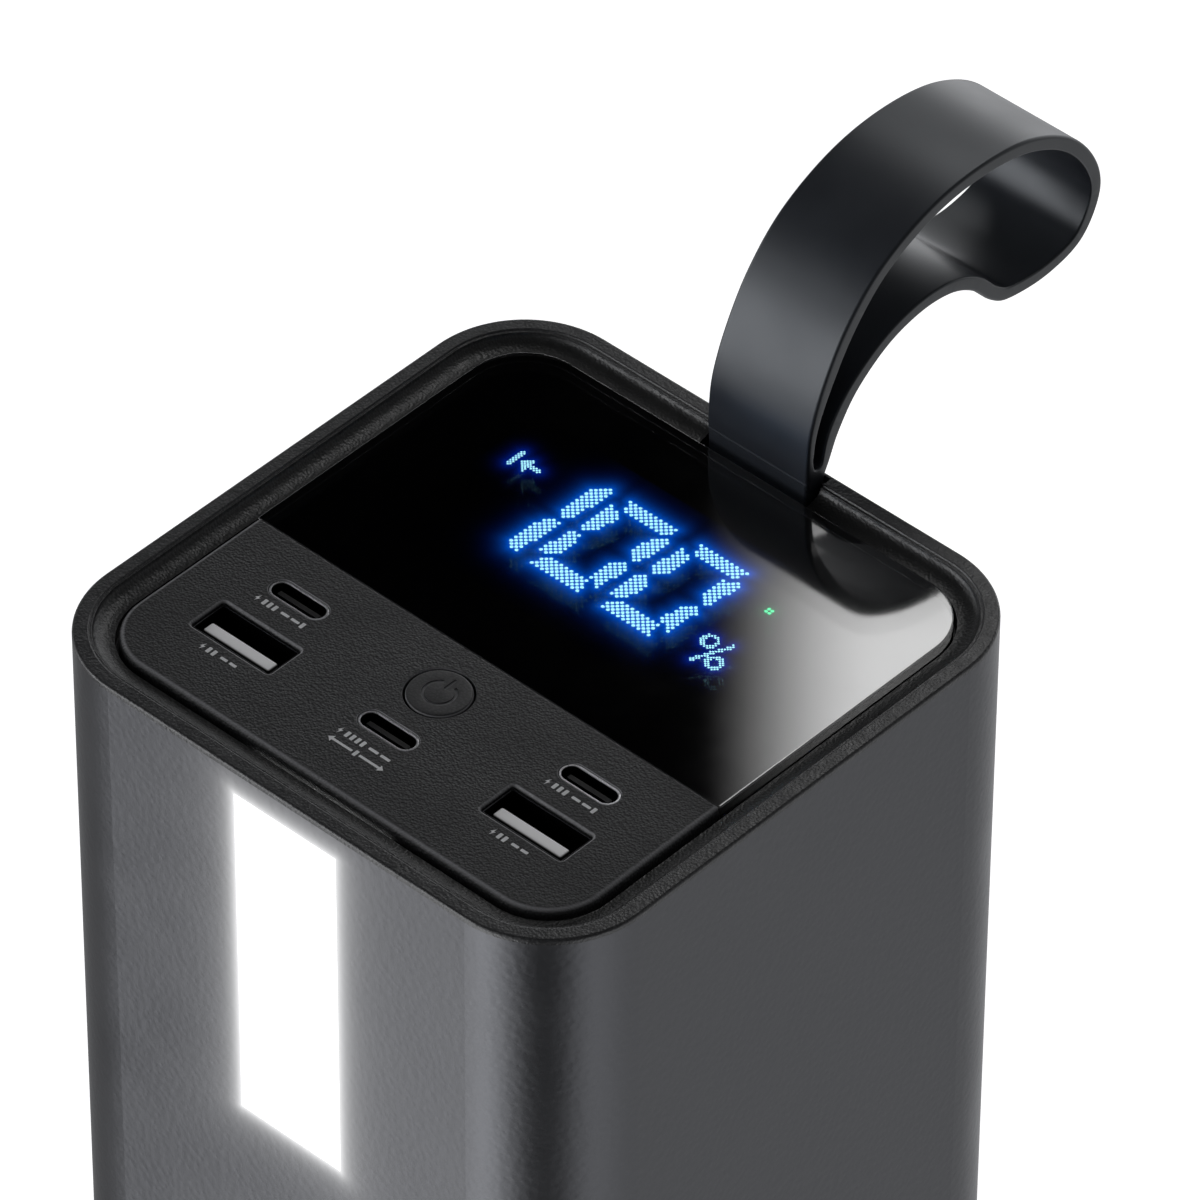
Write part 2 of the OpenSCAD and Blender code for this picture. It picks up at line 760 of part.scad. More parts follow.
module usb_a_contacts() {
    contact = [1.0, 0.2];
    contact_top = usb_a_drop + 1.4;
    base_h = 1.5;
    color([0.85, 0.7, 0.3]) from_top() for (s = [-1, 1], x = [-3.5, -1, 1, 3.5])
        translate([s*port_x + x - contact[0]/2, usb_a_y + tongue_a_low() + tongue_a[1], -board_top + base_h])
            cube([contact[0], contact[1], board_top - base_h - contact_top]);
}

// ---- Lamp ----------------------------------------------------------------------------------

module lamp_diffuser() {
    z = [-lamp_top - lamp_h, -lamp_top];
    back = -half + sleeve_wall + fit;
    color("white") from_top() {
        block([-lamp_w/2 + fit, -half, z[0] + fit], [lamp_w/2 - fit, back, z[1] - fit]);
        block([-lamp_w/2 - diffuser_flange, back, z[0] - 1.2],
            [lamp_w/2 + diffuser_flange, back + diffuser_plate_t, z[1] + 1.2]);
    }
}

module lamp_tray() {
    z = [-lamp_top - lamp_h - 1.3, -seat_depth - 0.15];
    front = -half + sleeve_wall + fit;
    color([0.95, 0.95, 0.95]) from_top() difference() {
        block([-tray_w/2, front, z[0]], [tray_w/2, front + tray_depth, z[1]]);
        block([-tray_w/2 + tray_wall, front - bite, z[0] - bite],
            [tray_w/2 - tray_wall, front + tray_depth - tray_wall, z[1] + bite]);
        for (x = [-2, 2]) translate([x, front + tray_depth + bite, -20]) rotate([90, 0, 0])
            cylinder(r = 0.9, h = tray_wall + 2*bite);
    }
}

module lamp_board() {
    back = -half + sleeve_wall + fit + tray_depth - tray_wall;
    color([0.9, 0.92, 0.9]) from_top()
        block([-lamp_w/2 - 1.6, back - lamp_board_t, -lamp_top - lamp_h],
            [lamp_w/2 + 1.6, back, -lamp_top]);
}

module lamp_leds() {
    front = -half + sleeve_wall + fit + tray_depth - tray_wall - lamp_board_t - led_t;
    pitch = lamp_h/led_count;
    color([1, 0.95, 0.6]) from_top() for (i = [0:led_count - 1], s = [-1, 1])
        translate([s*4 - 1.75, front, -lamp_top - (i + 0.5)*pitch - 1.4]) cube([3.5, led_t, 2.8]);
}

module lamp_lead() {
    r = 0.55;
    bend_r = 2.5;
    start_y = -half + sleeve_wall + fit + tray_depth - tray_wall;
    z = -20;
    run = 2;
    color([0.8, 0.1, 0.1]) from_top() for (x = [-2, 2]) translate([x, start_y, z]) {
        rotate([-90, 0, 0]) cylinder(r = r, h = run);
        translate([0, run, bend_r]) rotate([0, 90, 0]) rotate_extrude(angle = 90)
            translate([bend_r, 0]) circle(r);
        translate([0, run + bend_r, bend_r]) cylinder(r = r, h = -z - board_bottom - bend_r);
    }
}

// ---- Strap ---------------------------------------------------------------------------------

// A side view, drawn in y and height, given the strap's width along X
module across(w) {
    translate([-w/2, 0, 0]) rotate([90, 0, 90]) linear_extrude(w) children();
}

module strap_loop() {
    outer = spline(strap_outer, strap_steps);
    hole = [for (i = [strap_steps:len(outer) - 1 - strap_steps]) outer[i]];
    color(slate) from_top() across(strap_w) {
        difference() {
            polygon([for (p = outer) [p[0], p[1]]]);
            polygon(concat(inset(hole), [[42, 2.3], [41.2, 2.5]]));
        }
        translate(strap_pivot) circle(strap_root_r);
    }
}

module strap_tail() {
    color(slate) from_top() {
        across(strap_w) polygon([[strap_tail_y[0], strap_foot[1]], [strap_tail_y[1], strap_foot[1]],
            [strap_tail_y[1], -4], [42.5, strap_tail_top], [39.7, strap_tail_top], [strap_tail_y[0], -4]]);
        across(strap_foot_w) polygon([[strap_tail_y[0], strap_foot[0]], [strap_tail_y[1], strap_foot[0]],
            [strap_tail_y[1], strap_foot[1]], [strap_tail_y[0], strap_foot[1]]]);
    }
}

module strap_clamp() {
    color(steel) from_top() difference() {
        block([-clamp_w/2, clamp_y[0], clamp_z[0]], [clamp_w/2, clamp_y[1], clamp_z[1]]);
        for (s = [-1, 1]) translate([s*clamp_screw[0], clamp_y[0] - bite, clamp_screw[1]])
            rotate([-90, 0, 0]) cylinder(r = small_pilot_r, h = clamp_y[1] - clamp_y[0] + 2*bite);
    }
}

module clamp_screws() {
    color(steel) from_top() for (s = [-1, 1])
        translate([s*clamp_screw[0], clamp_y[0] - small_head_h, clamp_screw[1]]) rotate([-90, 0, 0])
            screw(0, small_head_r, small_head_h, small_shank_r, 3.5, 1);
}

// ---- Parts ---------------------------------------------------------------------------------

outer_sleeve();
top_bezel();
top_plate();
display_lens();
display_module();
lit_figures();
lit_marks();
status_light();
power_button();
switch_plunger();
tact_switch();
usb_c_shell(-port_x, side_usb_c_y);  // usb_c_shell_left
usb_c_shell(0, mid_usb_c_y);  // usb_c_shell_middle
usb_c_shell(port_x, side_usb_c_y);  // usb_c_shell_right
usb_c_tongue(-port_x, side_usb_c_y);  // usb_c_tongue_left
usb_c_tongue(0, mid_usb_c_y);  // usb_c_tongue_middle
usb_c_tongue(port_x, side_usb_c_y);  // usb_c_tongue_right
usb_a_shell(-port_x);  // usb_a_shell_left
usb_a_shell(port_x);  // usb_a_shell_right
usb_a_tongue(-port_x);  // usb_a_tongue_left
usb_a_tongue(port_x);  // usb_a_tongue_right
usb_a_contacts();
main_board();
inductors();
capacitors();
controller_chips();
battery_connector();
board_screws();
frame_screws();
strap_clamp();
clamp_screws();
strap_tail();
strap_loop();
lamp_diffuser();
lamp_tray();
lamp_board();
lamp_leds();
lamp_lead();
pouch_cell(1);  // cell_1
pouch_cell(2);  // cell_2
pouch_cell(3);  // cell_3
pouch_cell(4);  // cell_4
pouch_cell(5);  // cell_5
foam_pads();
cell_tabs();
bus_strips();
lead_positive();
lead_negative();
protection_board();
chassis_left();
chassis_right();
bottom_cover();
bottom_screws();
base_pad();
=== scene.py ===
"""The looks of a tower power bank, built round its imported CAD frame.

Outlines are in millimetres; the meshes that come out of them are in metres, in the CAD model's own frame.
"""
import json
import math

import bmesh
import bpy
from mathutils import Matrix, Vector
from mathutils.geometry import delaunay_2d_cdt
from mathutils.kdtree import KDTree


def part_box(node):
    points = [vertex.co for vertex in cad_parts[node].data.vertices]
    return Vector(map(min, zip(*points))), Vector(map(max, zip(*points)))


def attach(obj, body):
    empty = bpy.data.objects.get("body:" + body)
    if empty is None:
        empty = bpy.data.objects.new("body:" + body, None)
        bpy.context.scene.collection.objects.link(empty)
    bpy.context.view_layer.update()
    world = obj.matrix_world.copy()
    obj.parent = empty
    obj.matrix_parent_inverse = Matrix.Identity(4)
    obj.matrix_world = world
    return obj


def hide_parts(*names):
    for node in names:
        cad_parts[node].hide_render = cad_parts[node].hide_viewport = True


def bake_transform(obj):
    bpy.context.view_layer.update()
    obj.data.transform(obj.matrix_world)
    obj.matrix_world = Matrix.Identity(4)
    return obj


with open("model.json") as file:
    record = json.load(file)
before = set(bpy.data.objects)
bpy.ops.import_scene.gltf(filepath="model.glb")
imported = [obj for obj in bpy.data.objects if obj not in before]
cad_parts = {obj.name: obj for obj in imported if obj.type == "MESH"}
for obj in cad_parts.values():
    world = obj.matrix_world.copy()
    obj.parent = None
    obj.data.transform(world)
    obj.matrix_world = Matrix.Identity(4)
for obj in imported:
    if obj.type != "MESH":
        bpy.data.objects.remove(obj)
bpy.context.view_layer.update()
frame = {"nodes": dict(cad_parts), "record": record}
nodes = frame["nodes"]

MM = 0.001


def box_mm(node):
    low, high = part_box(node)
    return low / MM, high / MM


def middle_mm(node):
    low, high = box_mm(node)
    return (low + high) / 2, high - low


# ---- Sizes, read from the frame --------------------------

HALF = box_mm("outer_sleeve")[1].x  # half the body's width
TOP = box_mm("top_bezel")[1].z  # top of the rim
CORNER = HALF - max(v.co.y for v in nodes["outer_sleeve"].data.vertices if v.co.x / MM > HALF - 0.001) / MM
RIM_BOTTOM = box_mm("top_bezel")[0].z
PANEL_HALF = box_mm("top_plate")[1].x  # half the width of panel and lens
PANEL_TOP = box_mm("top_plate")[1].z
PANEL_BOTTOM = box_mm("top_plate")[0].z
LENS_LOW, LENS_HIGH = box_mm("display_lens")
LENS_FRONT = LENS_LOW.y
PANEL_CORNER = CORNER - (HALF - PANEL_HALF) - 0.4
DISPLAY_LOW, DISPLAY_HIGH = box_mm("display_module")
LAMP_LOW, LAMP_HIGH = box_mm("lamp_diffuser")
LAMP_FLANGE = (2.3, 1.3)  # how far the diffuser's hidden flange reaches past its window

FLANGE_T = 0.8  # thickness of the rim's flange on the sleeve's end
BAND = 2.0  # width of the rim's flat band
STEP = 0.25  # drop from the band to the lip of the cove
PANEL_EDGE = 0.9  # radius of the panel's outer edge
BUTTON_R = 4.15
BUTTON_GAP = 0.32  # free space round the button

USB_C_SHELLS = ("usb_c_shell_left", "usb_c_shell_middle", "usb_c_shell_right")
USB_A_SHELLS = ("usb_a_shell_left", "usb_a_shell_right")
USB_A_TONGUES = ("usb_a_tongue_left", "usb_a_tongue_right")


# ---- Outlines --------------------------------------------

def arc(cx, cy, r, start, end, steps):
    """Points on an arc between two angles in degrees."""
    angles = [math.radians(start + (end - start) * i / steps) for i in range(steps + 1)]
    return [Vector((cx + r * math.cos(a), cy + r * math.sin(a))) for a in angles]


def rounded_box(cx, cy, w, d, r, steps=8):
    """Anticlockwise outline of a rectangle with round corners; a stadium where r is half its depth."""
    x, y = w / 2 - r, d / 2 - r
    corners = ((1, -1, -90), (1, 1, 0), (-1, 1, 90), (-1, -1, 180))
    points = [p for sx, sy, a in corners for p in arc(cx + sx * x, cy + sy * y, r, a, a + 90, steps)]
    return [p for i, p in enumerate(points) if (p - points[i - 1]).length > 1e-6]


def disc(cx, cy, r, steps=64):
    return arc(cx, cy, r, 0, 360, steps)[:-1]


def fillet(corners, steps=5):
    """An open path of (x, y, radius) corners, each rounded by its own radius."""
    path = []
    for i, (x, y, r) in enumerate(corners):
        here = Vector((x, y))
        if r == 0:
            path.append(here)
            continue
        before = (Vector(corners[i - 1][:2]) - here).normalized()
        after = (Vector(corners[i + 1][:2]) - here).normalized()
        half = before.angle(after) / 2
        centre = here + (before + after).normalized() * r / math.sin(half)
        reach = r / math.tan(half)
        start, end = here + before * reach - centre, here + after * reach - centre
        first = math.atan2(start.y, start.x)
        turn = math.atan2(start.cross(end), start.dot(end))
        for k in range(steps + 1):
            a = first + turn * k / steps
            path.append(centre + r * Vector((math.cos(a), math.sin(a))))
    return path


def offset(loop, distance):
    """A closed loop moved sideways to its left, which is into the material of any loop used here."""
    moved = []
    for i, here in enumerate(loop):
        t0 = (here - loop[i - 1]).normalized()
        t1 = (loop[(i + 1) % len(loop)] - here).normalized()
        n0, n1 = Vector((-t0.y, t0.x)), Vector((-t1.y, t1.x))
        moved.append(here + (n0 + n1) * distance / max(1 + n0.dot(n1), 0.5))
    return moved


def hole(loop):
    return loop[::-1]


def area(loop):
    return sum(a.cross(b) for a, b in zip(loop, loop[1:] + loop[:1])) / 2


def smooth_loop(loop, steps):
    """A closed smooth curve through every point of a loop."""
    curve = []
    for i in range(len(loop)):
        a, b = loop[i - 1], loop[i]
        c, d = loop[(i + 1) % len(loop)], loop[(i + 2) % len(loop)]
        for k in range(steps):
            t = k / steps
            curve.append(0.5 * (2 * b + t * (c - a) + t * t * (2 * a - 5 * b + 4 * c - d)
                                + t ** 3 * (3 * b - a - 3 * c + d)))
    return curve


def inside(point, loops):
    """True if a point is within the area that the loops bound, holes left out."""
    hits = 0
    for loop in loops:
        for a, b in zip(loop, loop[1:] + loop[:1]):
            if (a.y > point.y) != (b.y > point.y):
                hits += point.x < a.x + (point.y - a.y) * (b.x - a.x) / (b.y - a.y)
    return hits % 2 == 1


def end_loops(node, axis):
    """The outlines of the flat face that a CAD node ends in along an axis, in the other two axes."""
    mesh = bmesh.new()
    mesh.from_mesh(nodes[node].data)
    bmesh.ops.remove_doubles(mesh, verts=mesh.verts, dist=1e-6)
    level = max(v.co[axis] for v in mesh.verts)
    flat = {f for f in mesh.faces if all(abs(v.co[axis] - level) < 1e-6 for v in f.verts)}
    near = {}
    for e in mesh.edges:
        if sum(f in flat for f in e.link_faces) == 1:
            for v in e.verts:
                near.setdefault(v, []).append(e.other_vert(v))
    loops = []
    while near:
        here = next(iter(near))
        loop = []
        while here is not None:
            loop.append(here)
            ways = near.pop(here)
            here = next((v for v in ways if v in near), None)
        others = [k for k in range(3) if k != axis]
        loops.append([Vector(v.co[k] / MM for k in others) for v in loop])
    mesh.free()
    return loops


# ---- Meshes ----------------------------------------------

class Shape:
    """A mesh under construction, in millimetres."""

    def __init__(self):
        self.points, self.faces = [], []

    def ring(self, loop, z):
        first = len(self.points)
        self.points += [(p.x, p.y, z) for p in loop]
        return list(range(first, len(self.points)))

    def skin(self, rings, closed=False):
        """Quads between each ring and the next."""
        for a, b in zip(rings, rings[1:] + (rings[:1] if closed else [])):
            for i, j in zip(range(len(a)), [*range(1, len(a)), 0]):
                self.faces.append((a[i], b[i], b[j], a[j]))

    def cap(self, rings, up):
        """A flat face bounded by rings; those within another one are holes."""
        numbers = [n for ring in rings for n in ring]
        edges = []
        start = 0
        for ring in rings:
            edges += [(start + i, start + (i + 1) % len(ring)) for i in range(len(ring))]
            start += len(ring)
        flat = [Vector(self.points[n][:2]) for n in numbers]
        loops = [[Vector(self.points[n][:2]) for n in ring] for ring in rings]
        places, _, triangles, origins, _, _ = delaunay_2d_cdt(flat, edges, [], 0, 1e-6)
        for triangle in triangles:
            if inside(sum((places[v] for v in triangle), Vector((0, 0))) / 3, loops):
                corners = [numbers[origins[v][0]] for v in triangle]
                self.faces.append(corners if up else corners[::-1])

    def slab(self, loops, z_top, z_bottom, pockets=()):
        """A plate with openings. A loop is (points, top edge's radius, low edge's radius), holes clockwise.

        A pocket is (points, edge's radius, depth).
        """
        tops, bottoms = [], []
        for points, r_top, r_low in loops:
            rings = []
            for inset, drop in quarter_round(r_top):
                rings.append(self.ring(offset(points, inset), z_top - drop))
            for inset, drop in reversed(quarter_round(r_low)):
                rings.append(self.ring(offset(points, inset), z_bottom + drop))
            self.skin(rings)
            tops.append(rings[0])
            bottoms.append(rings[-1])
        for points, r, depth in pockets:
            rings = [self.ring(offset(hole(points), inset), z_top - drop) for inset, drop in quarter_round(r)]
            rings.append(self.ring(hole(points), z_top - depth))
            self.skin(rings)
            tops.append(rings[0])
            self.cap([rings[-1]], True)
        self.cap(tops, True)
        self.cap(bottoms, False)

    def turned(self, order):
        """Swaps the axes round: order says which local axis becomes x, y and z."""
        self.points = [tuple(p[k] for k in order) for p in self.points]
        return self


def quarter_round(r, steps=5):
    """(inset, drop) pairs from a plate's flat face round its edge to its wall."""
    if r == 0:
        return [(0, 0)]
    angles = [math.pi / 2 * k / steps for k in range(steps + 1)]
    return [(r * (1 - math.sin(a)), r * (1 - math.cos(a))) for a in angles]


def block(low, high):
    """A box between two corners."""
    shape = Shape()
    corners = ((low[0], low[1]), (high[0], low[1]), (high[0], high[1]), (low[0], high[1]))
    shape.slab([([Vector(p) for p in corners], 0, 0)], high[2], low[2])
    return shape


def to_object(shape, name):
    mesh = bpy.data.meshes.new(name)
    mesh.from_pydata([Vector(p) * MM for p in shape.points], [], shape.faces)
    clean = bmesh.new()
    clean.from_mesh(mesh)
    bmesh.ops.remove_doubles(clean, verts=clean.verts, dist=1e-7)
    bmesh.ops.recalc_face_normals(clean, faces=clean.faces)
    clean.to_mesh(mesh)
    clean.free()
    obj = bpy.data.objects.new(name, mesh)
    bpy.context.scene.collection.objects.link(obj)
    return obj


def carve(obj, cutters):
    """Cuts closed shapes out of a piece for good."""
    for cutter in cutters:
        tool = to_object(cutter, "tool")
        cut = obj.modifiers.new("cut", "BOOLEAN")
        cut.object, cut.operation, cut.solver = tool, "DIFFERENCE", "EXACT"
        evaluated = obj.evaluated_get(bpy.context.evaluated_depsgraph_get())
        obj.data = bpy.data.meshes.new_from_object(evaluated)
        obj.modifiers.remove(cut)
        bpy.data.objects.remove(tool)


def finish_piece(obj, material, body="case", stands_for=(), sharp=35):
    """Smooth faces with even normals, then the material and the body that the piece rides on."""
    obj.data.shade_smooth()
    obj.data.set_sharp_from_angle(angle=math.radians(sharp))
    even = obj.modifiers.new("even_normals", "WEIGHTED_NORMAL")
    even.keep_sharp = True
    obj.data.materials.clear()
    obj.data.materials.append(material)
    if body:
        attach(obj, body)
    if stands_for:
        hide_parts(*stands_for)
    return obj


# ---- Materials -------------------------------------------

class Look:
    """A Principled material, with short calls for its patterns. Their sizes are in millimetres."""

    def __init__(self, name, colour, roughness, **sockets):
        self.material = bpy.data.materials.new(name)
        self.material.use_nodes = True
        self.tree = self.material.node_tree
        self.shader = self.tree.nodes["Principled BSDF"]
        self.set(self.shader, Base_Color=(*colour, 1), Roughness=roughness, **sockets)
        self.place = self.node("ShaderNodeTexCoord").outputs["Object"]
        self.normal = None

    def node(self, kind, **inputs):
        made = self.tree.nodes.new(kind)
        return self.set(made, **inputs)

    def set(self, node, **inputs):
        """Sets or links a node's inputs: Base_Color is the one called Base Color, and in0 the first."""
        for name, value in inputs.items():
            socket = node.inputs[int(name[2:]) if name.startswith("in") else name.replace("_", " ")]
            if isinstance(value, bpy.types.NodeSocket):
                self.tree.links.new(value, socket)
            else:
                socket.default_value = value
        return node

    def noise(self, size, detail=2.0, rough=0.5, place=None):
        made = self.node("ShaderNodeTexNoise", Vector=place or self.place, Scale=1 / (size * MM),
                         Detail=detail, Roughness=rough)
        return made.outputs["Fac"]

    def cells(self, size, feature="F1", smooth=None):
        made = self.tree.nodes.new("ShaderNodeTexVoronoi")
        made.feature = feature
        self.set(made, Vector=self.place, Scale=1 / (size * MM))
        if smooth is not None:
            self.set(made, Smoothness=smooth)
        return made.outputs["Distance"]

    def math(self, operation, a, b=0.0):
        made = self.tree.nodes.new("ShaderNodeMath")
        made.operation = operation
        return self.set(made, in0=a, in1=b).outputs[0]

    def spread(self, value, low, high, to_low=0.0, to_high=1.0):
        """Stretches a stretch of a pattern's range to new limits."""
        return self.node("ShaderNodeMapRange", Value=value, From_Min=low, From_Max=high,
                         To_Min=to_low, To_Max=to_high).outputs["Result"]

    def mix(self, share, dark, light):
        made = self.tree.nodes.new("ShaderNodeMix")
        made.data_type = "RGBA"
        self.set(made, in0=share)
        for index, colour in ((6, dark), (7, light)):
            if isinstance(colour, bpy.types.NodeSocket):
                self.tree.links.new(colour, made.inputs[index])
            else:
                made.inputs[index].default_value = (*colour, 1)
        return made.outputs[2]

    def relief(self, height, depth):
        """Adds a bump of a real depth in millimetres on top of those already there."""
        made = self.node("ShaderNodeBump", Height=height, Distance=depth * MM, Strength=1.0)
        if self.normal is not None:
            self.tree.links.new(self.normal, made.inputs["Normal"])
        self.normal = made.outputs["Normal"]
        self.tree.links.new(self.normal, self.shader.inputs["Normal"])

    def axis(self, name):
        return self.node("ShaderNodeSeparateXYZ", Vector=self.place).outputs[name.upper()]

    def stretched(self, x, y, z):
        """The piece's place, with a pattern's size scaled along each axis."""
        return self.node("ShaderNodeMapping", Vector=self.place, Scale=(1 / x, 1 / y, 1 / z)).outputs[0]


def shade(name, dark, light, roughness, size, depth, metallic=0.0, spread=0.08, specular=0.5):
    """A plain finish with real variation: cloudy colour, uneven gloss and fine relief."""
    look = Look(name, light, roughness, Metallic=metallic, Specular_IOR_Level=specular)
    cloud = look.noise(size * 12, 3)
    fine = look.noise(size, 3, 0.6)
    look.set(look.shader, Base_Color=look.mix(look.spread(cloud, 0.3, 0.7), dark, light),
             Roughness=look.spread(cloud, 0.3, 0.7, roughness - spread, roughness + spread))
    look.relief(fine, depth)
    return look.material


def sleeve_look():
    """Bead-blasted graphite anodising. The lamp's light grazes the wall round its window."""
    look = Look("sleeve", (0.075, 0.076, 0.081), 0.4, Metallic=1.0)
    pebble = look.cells(0.95, "SMOOTH_F1", 1.0)
    fine = look.noise(0.35, 3, 0.6)
    cloud = look.noise(14, 3)
    look.set(look.shader,
             Base_Color=look.mix(look.spread(cloud, 0.3, 0.7), (0.071, 0.072, 0.077), (0.079, 0.08, 0.085)),
             Roughness=look.spread(look.math("MULTIPLY", cloud, fine), 0.1, 0.4, 0.38, 0.46))
    look.relief(pebble, 0.03)
    look.relief(fine, 0.008)

    def beyond(axis, low, high):
        """How far a point lies past a stretch of an axis, in metres."""
        value = look.axis(axis)
        centre, reach = (low + high) / 2 * MM, (high - low) / 2 * MM
        away = look.math("SUBTRACT", look.math("ABSOLUTE", look.math("SUBTRACT", value, centre)), reach)
        return look.math("MAXIMUM", away, 0.0)

    across = beyond("x", LAMP_LOW.x + LAMP_FLANGE[0], LAMP_HIGH.x - LAMP_FLANGE[0])
    along = beyond("z", LAMP_LOW.z + LAMP_FLANGE[1], LAMP_HIGH.z - LAMP_FLANGE[1])
    squares = look.math("ADD", look.math("MULTIPLY", across, across), look.math("MULTIPLY", along, along))
    distance = look.math("SQRT", squares)

    def fading(strength, reach):
        """Light that falls off with the distance, over a reach in millimetres."""
        fall = look.math("EXPONENT", look.math("MULTIPLY", distance, -1 / (reach * MM)))
        return look.math("MULTIPLY", fall, strength)

    in_front = look.math("LESS_THAN", look.axis("y"), -(HALF - CORNER) * MM)
    glow = look.math("MULTIPLY", look.math("ADD", fading(0.62, 0.9), fading(0.22, 3.2)), in_front)
    look.set(look.shader, Emission_Color=(1, 1, 1, 1), Emission_Strength=glow)
    return look.material


def moulded_look(name, grain, edges=False, specular=0.42):
    """Black moulding with a fine leather-like grain; with edges set, a painted highlight lightens a band just
    below the panel's top, along its rounded edges.
    """
    look = Look(name, (0.016, 0.016, 0.017), 0.55, Specular_IOR_Level=specular)
    pebble = look.cells(0.34, "SMOOTH_F1", 0.5)
    fine = look.noise(0.22, 2, 0.6)
    cloud = look.noise(9, 3)
    colour = look.mix(look.spread(pebble, 0.1, 0.6), (0.029, 0.029, 0.031), (0.013, 0.013, 0.014))
    if edges:
        # Painted highlight: by height, the colour lightens in a band 0.06 to 0.4 mm below the panel's top, on
        # its rounded edge.
        drop = look.math("SUBTRACT", PANEL_TOP * MM, look.axis("z"))
        upper = look.spread(drop, 0.01 * MM, 0.06 * MM)
        lower = look.spread(drop, 0.4 * MM, 0.12 * MM)
        painted_edge_highlight = look.math("MULTIPLY", look.math("MULTIPLY", upper, lower), 0.8)
        colour = look.mix(painted_edge_highlight, colour, (0.27, 0.27, 0.28))
    look.set(look.shader, Base_Color=colour, Roughness=look.spread(cloud, 0.3, 0.7, 0.5, 0.6))
    look.relief(pebble, 0.07 * grain)
    look.relief(fine, 0.035 * grain)
    return look.material


def rim_look():
    """The rim's moulding: a finer grain, low waves that catch the light, and painted shade that darkens its
    hollow to near black.
    """
    look = Look("rim_plastic", (0.02, 0.02, 0.021), 0.4, Specular_IOR_Level=0.5)
    pebble = look.cells(0.34, "SMOOTH_F1", 0.8)
    fine = look.noise(0.16, 2, 0.6)
    waves = look.noise(2.0, 2)
    grained = look.mix(look.spread(pebble, 0.1, 0.6), (0.034, 0.034, 0.036), (0.016, 0.016, 0.017))
    # Painted shade: below the band the colour goes to near black, by height, down the hollow.
    height = look.spread(look.axis("z"), (TOP - 1.3) * MM, (TOP - 0.3) * MM)
    look.set(look.shader, Base_Color=look.mix(height, (0.003, 0.003, 0.003), grained),
             Roughness=look.spread(waves, 0.3, 0.7, 0.34, 0.44))
    look.relief(waves, 0.05)
    look.relief(pebble, 0.045)
    look.relief(fine, 0.015)
    return look.material


def tongue_look():
    """The white tongues of the larger sockets: painted light makes the tip pale and faintly glowing, and
    painted shade darkens them below it.
    """
    look = Look("tongue_white", (0.85, 0.85, 0.86), 0.45)
    tip = box_mm(USB_A_TONGUES[0])[1].z
    # Painted light and shade by height: pale and glowing at the tip, near black below it.
    painted_tip_light_and_shade = look.spread(look.axis("z"), (tip - 0.14) * MM, (tip - 0.02) * MM)
    fine = look.noise(0.3, 2)
    look.set(look.shader, Base_Color=look.mix(painted_tip_light_and_shade, (0.05, 0.05, 0.052), (0.9, 0.9, 0.91)),
             Roughness=look.spread(fine, 0.3, 0.7, 0.4, 0.5), Emission_Color=(1, 1, 1, 1),
             Emission_Strength=look.math("MULTIPLY", painted_tip_light_and_shade, 0.12))
    return look.material


def lens_look():
    """Polished smoked acrylic that the display shines through, with the faintest smears."""
    look = Look("lens", (0.0015, 0.0015, 0.002), 0.06, IOR=2.8, Alpha=0.62)
    smear = look.noise(18, 4, 0.6)
    look.set(look.shader, Roughness=look.spread(smear, 0.45, 0.75, 0.05, 0.09))
    return look.material


def strap_look():
    """Slate silicone, satin, with mould texture, darker on its two flat sides and their rounded edges."""
    look = Look("silicone", (0.016, 0.019, 0.024), 0.4, Specular_Tint=(0.92, 0.96, 1.0, 1))
    fine = look.noise(0.22, 3, 0.6)
    cloud = look.noise(12, 3)
    width = box_mm("strap_loop")[1].x
    darker_sides = look.spread(look.math("ABSOLUTE", look.axis("x")), (width - 0.3) * MM, (width - 0.04) * MM)
    slate = look.mix(look.spread(cloud, 0.3, 0.7), (0.015, 0.017, 0.022), (0.021, 0.024, 0.030))
    look.set(look.shader, Base_Color=look.mix(darker_sides, slate, (0.005, 0.006, 0.008)),
             Roughness=look.spread(cloud, 0.3, 0.7, 0.36, 0.43))
    look.relief(fine, 0.008)
    return look.material


def light_look(name, colour, strength, size=0.3):
    """A lit surface, a little uneven in brightness."""
    look = Look(name, (0.8, 0.8, 0.8), 0.5, Emission_Color=(*colour, 1))
    uneven = look.noise(size, 2)
    look.set(look.shader, Emission_Strength=look.spread(uneven, 0.3, 0.7, strength * 0.85, strength * 1.15))
    return look.material


def film_look():
    """The display's dark film, lit from the dots by the colour kept at each point of its mesh."""
    look = Look("display_film", (0.0005, 0.0005, 0.0006), 0.8, Specular_IOR_Level=0.0)
    glow = look.tree.nodes.new("ShaderNodeAttribute")
    glow.attribute_name = "glow"
    grain = look.spread(look.noise(0.25, 2), 0.2, 0.8, 0.9, 1.1)
    look.set(look.shader, Emission_Color=glow.outputs["Color"], Emission_Strength=grain)
    return look.material


def lamp_look():
    """Milky diffuser, lit from behind, its brightness a little uneven."""
    look = Look("lamp_white", (0.9, 0.9, 0.9), 0.45, Emission_Color=(1, 1, 1, 1))
    cloud = look.noise(4, 2)
    look.set(look.shader, Emission_Strength=look.spread(cloud, 0.3, 0.7, 1.25, 1.4))
    look.relief(look.noise(0.2, 2), 0.004)
    return look.material


def metal_look(name, colour, roughness, grain=(1, 1, 12)):
    """Drawn or stamped metal with streaks along one axis."""
    look = Look(name, colour, roughness, Metallic=1.0)
    streaks = look.noise(0.12, 3, 0.6, look.stretched(*grain))
    look.set(look.shader, Roughness=look.spread(streaks, 0.3, 0.7, roughness - 0.08, roughness + 0.1),
             Base_Color=look.mix(streaks, tuple(c * 0.85 for c in colour), colour))
    look.relief(streaks, 0.004)
    return look.material


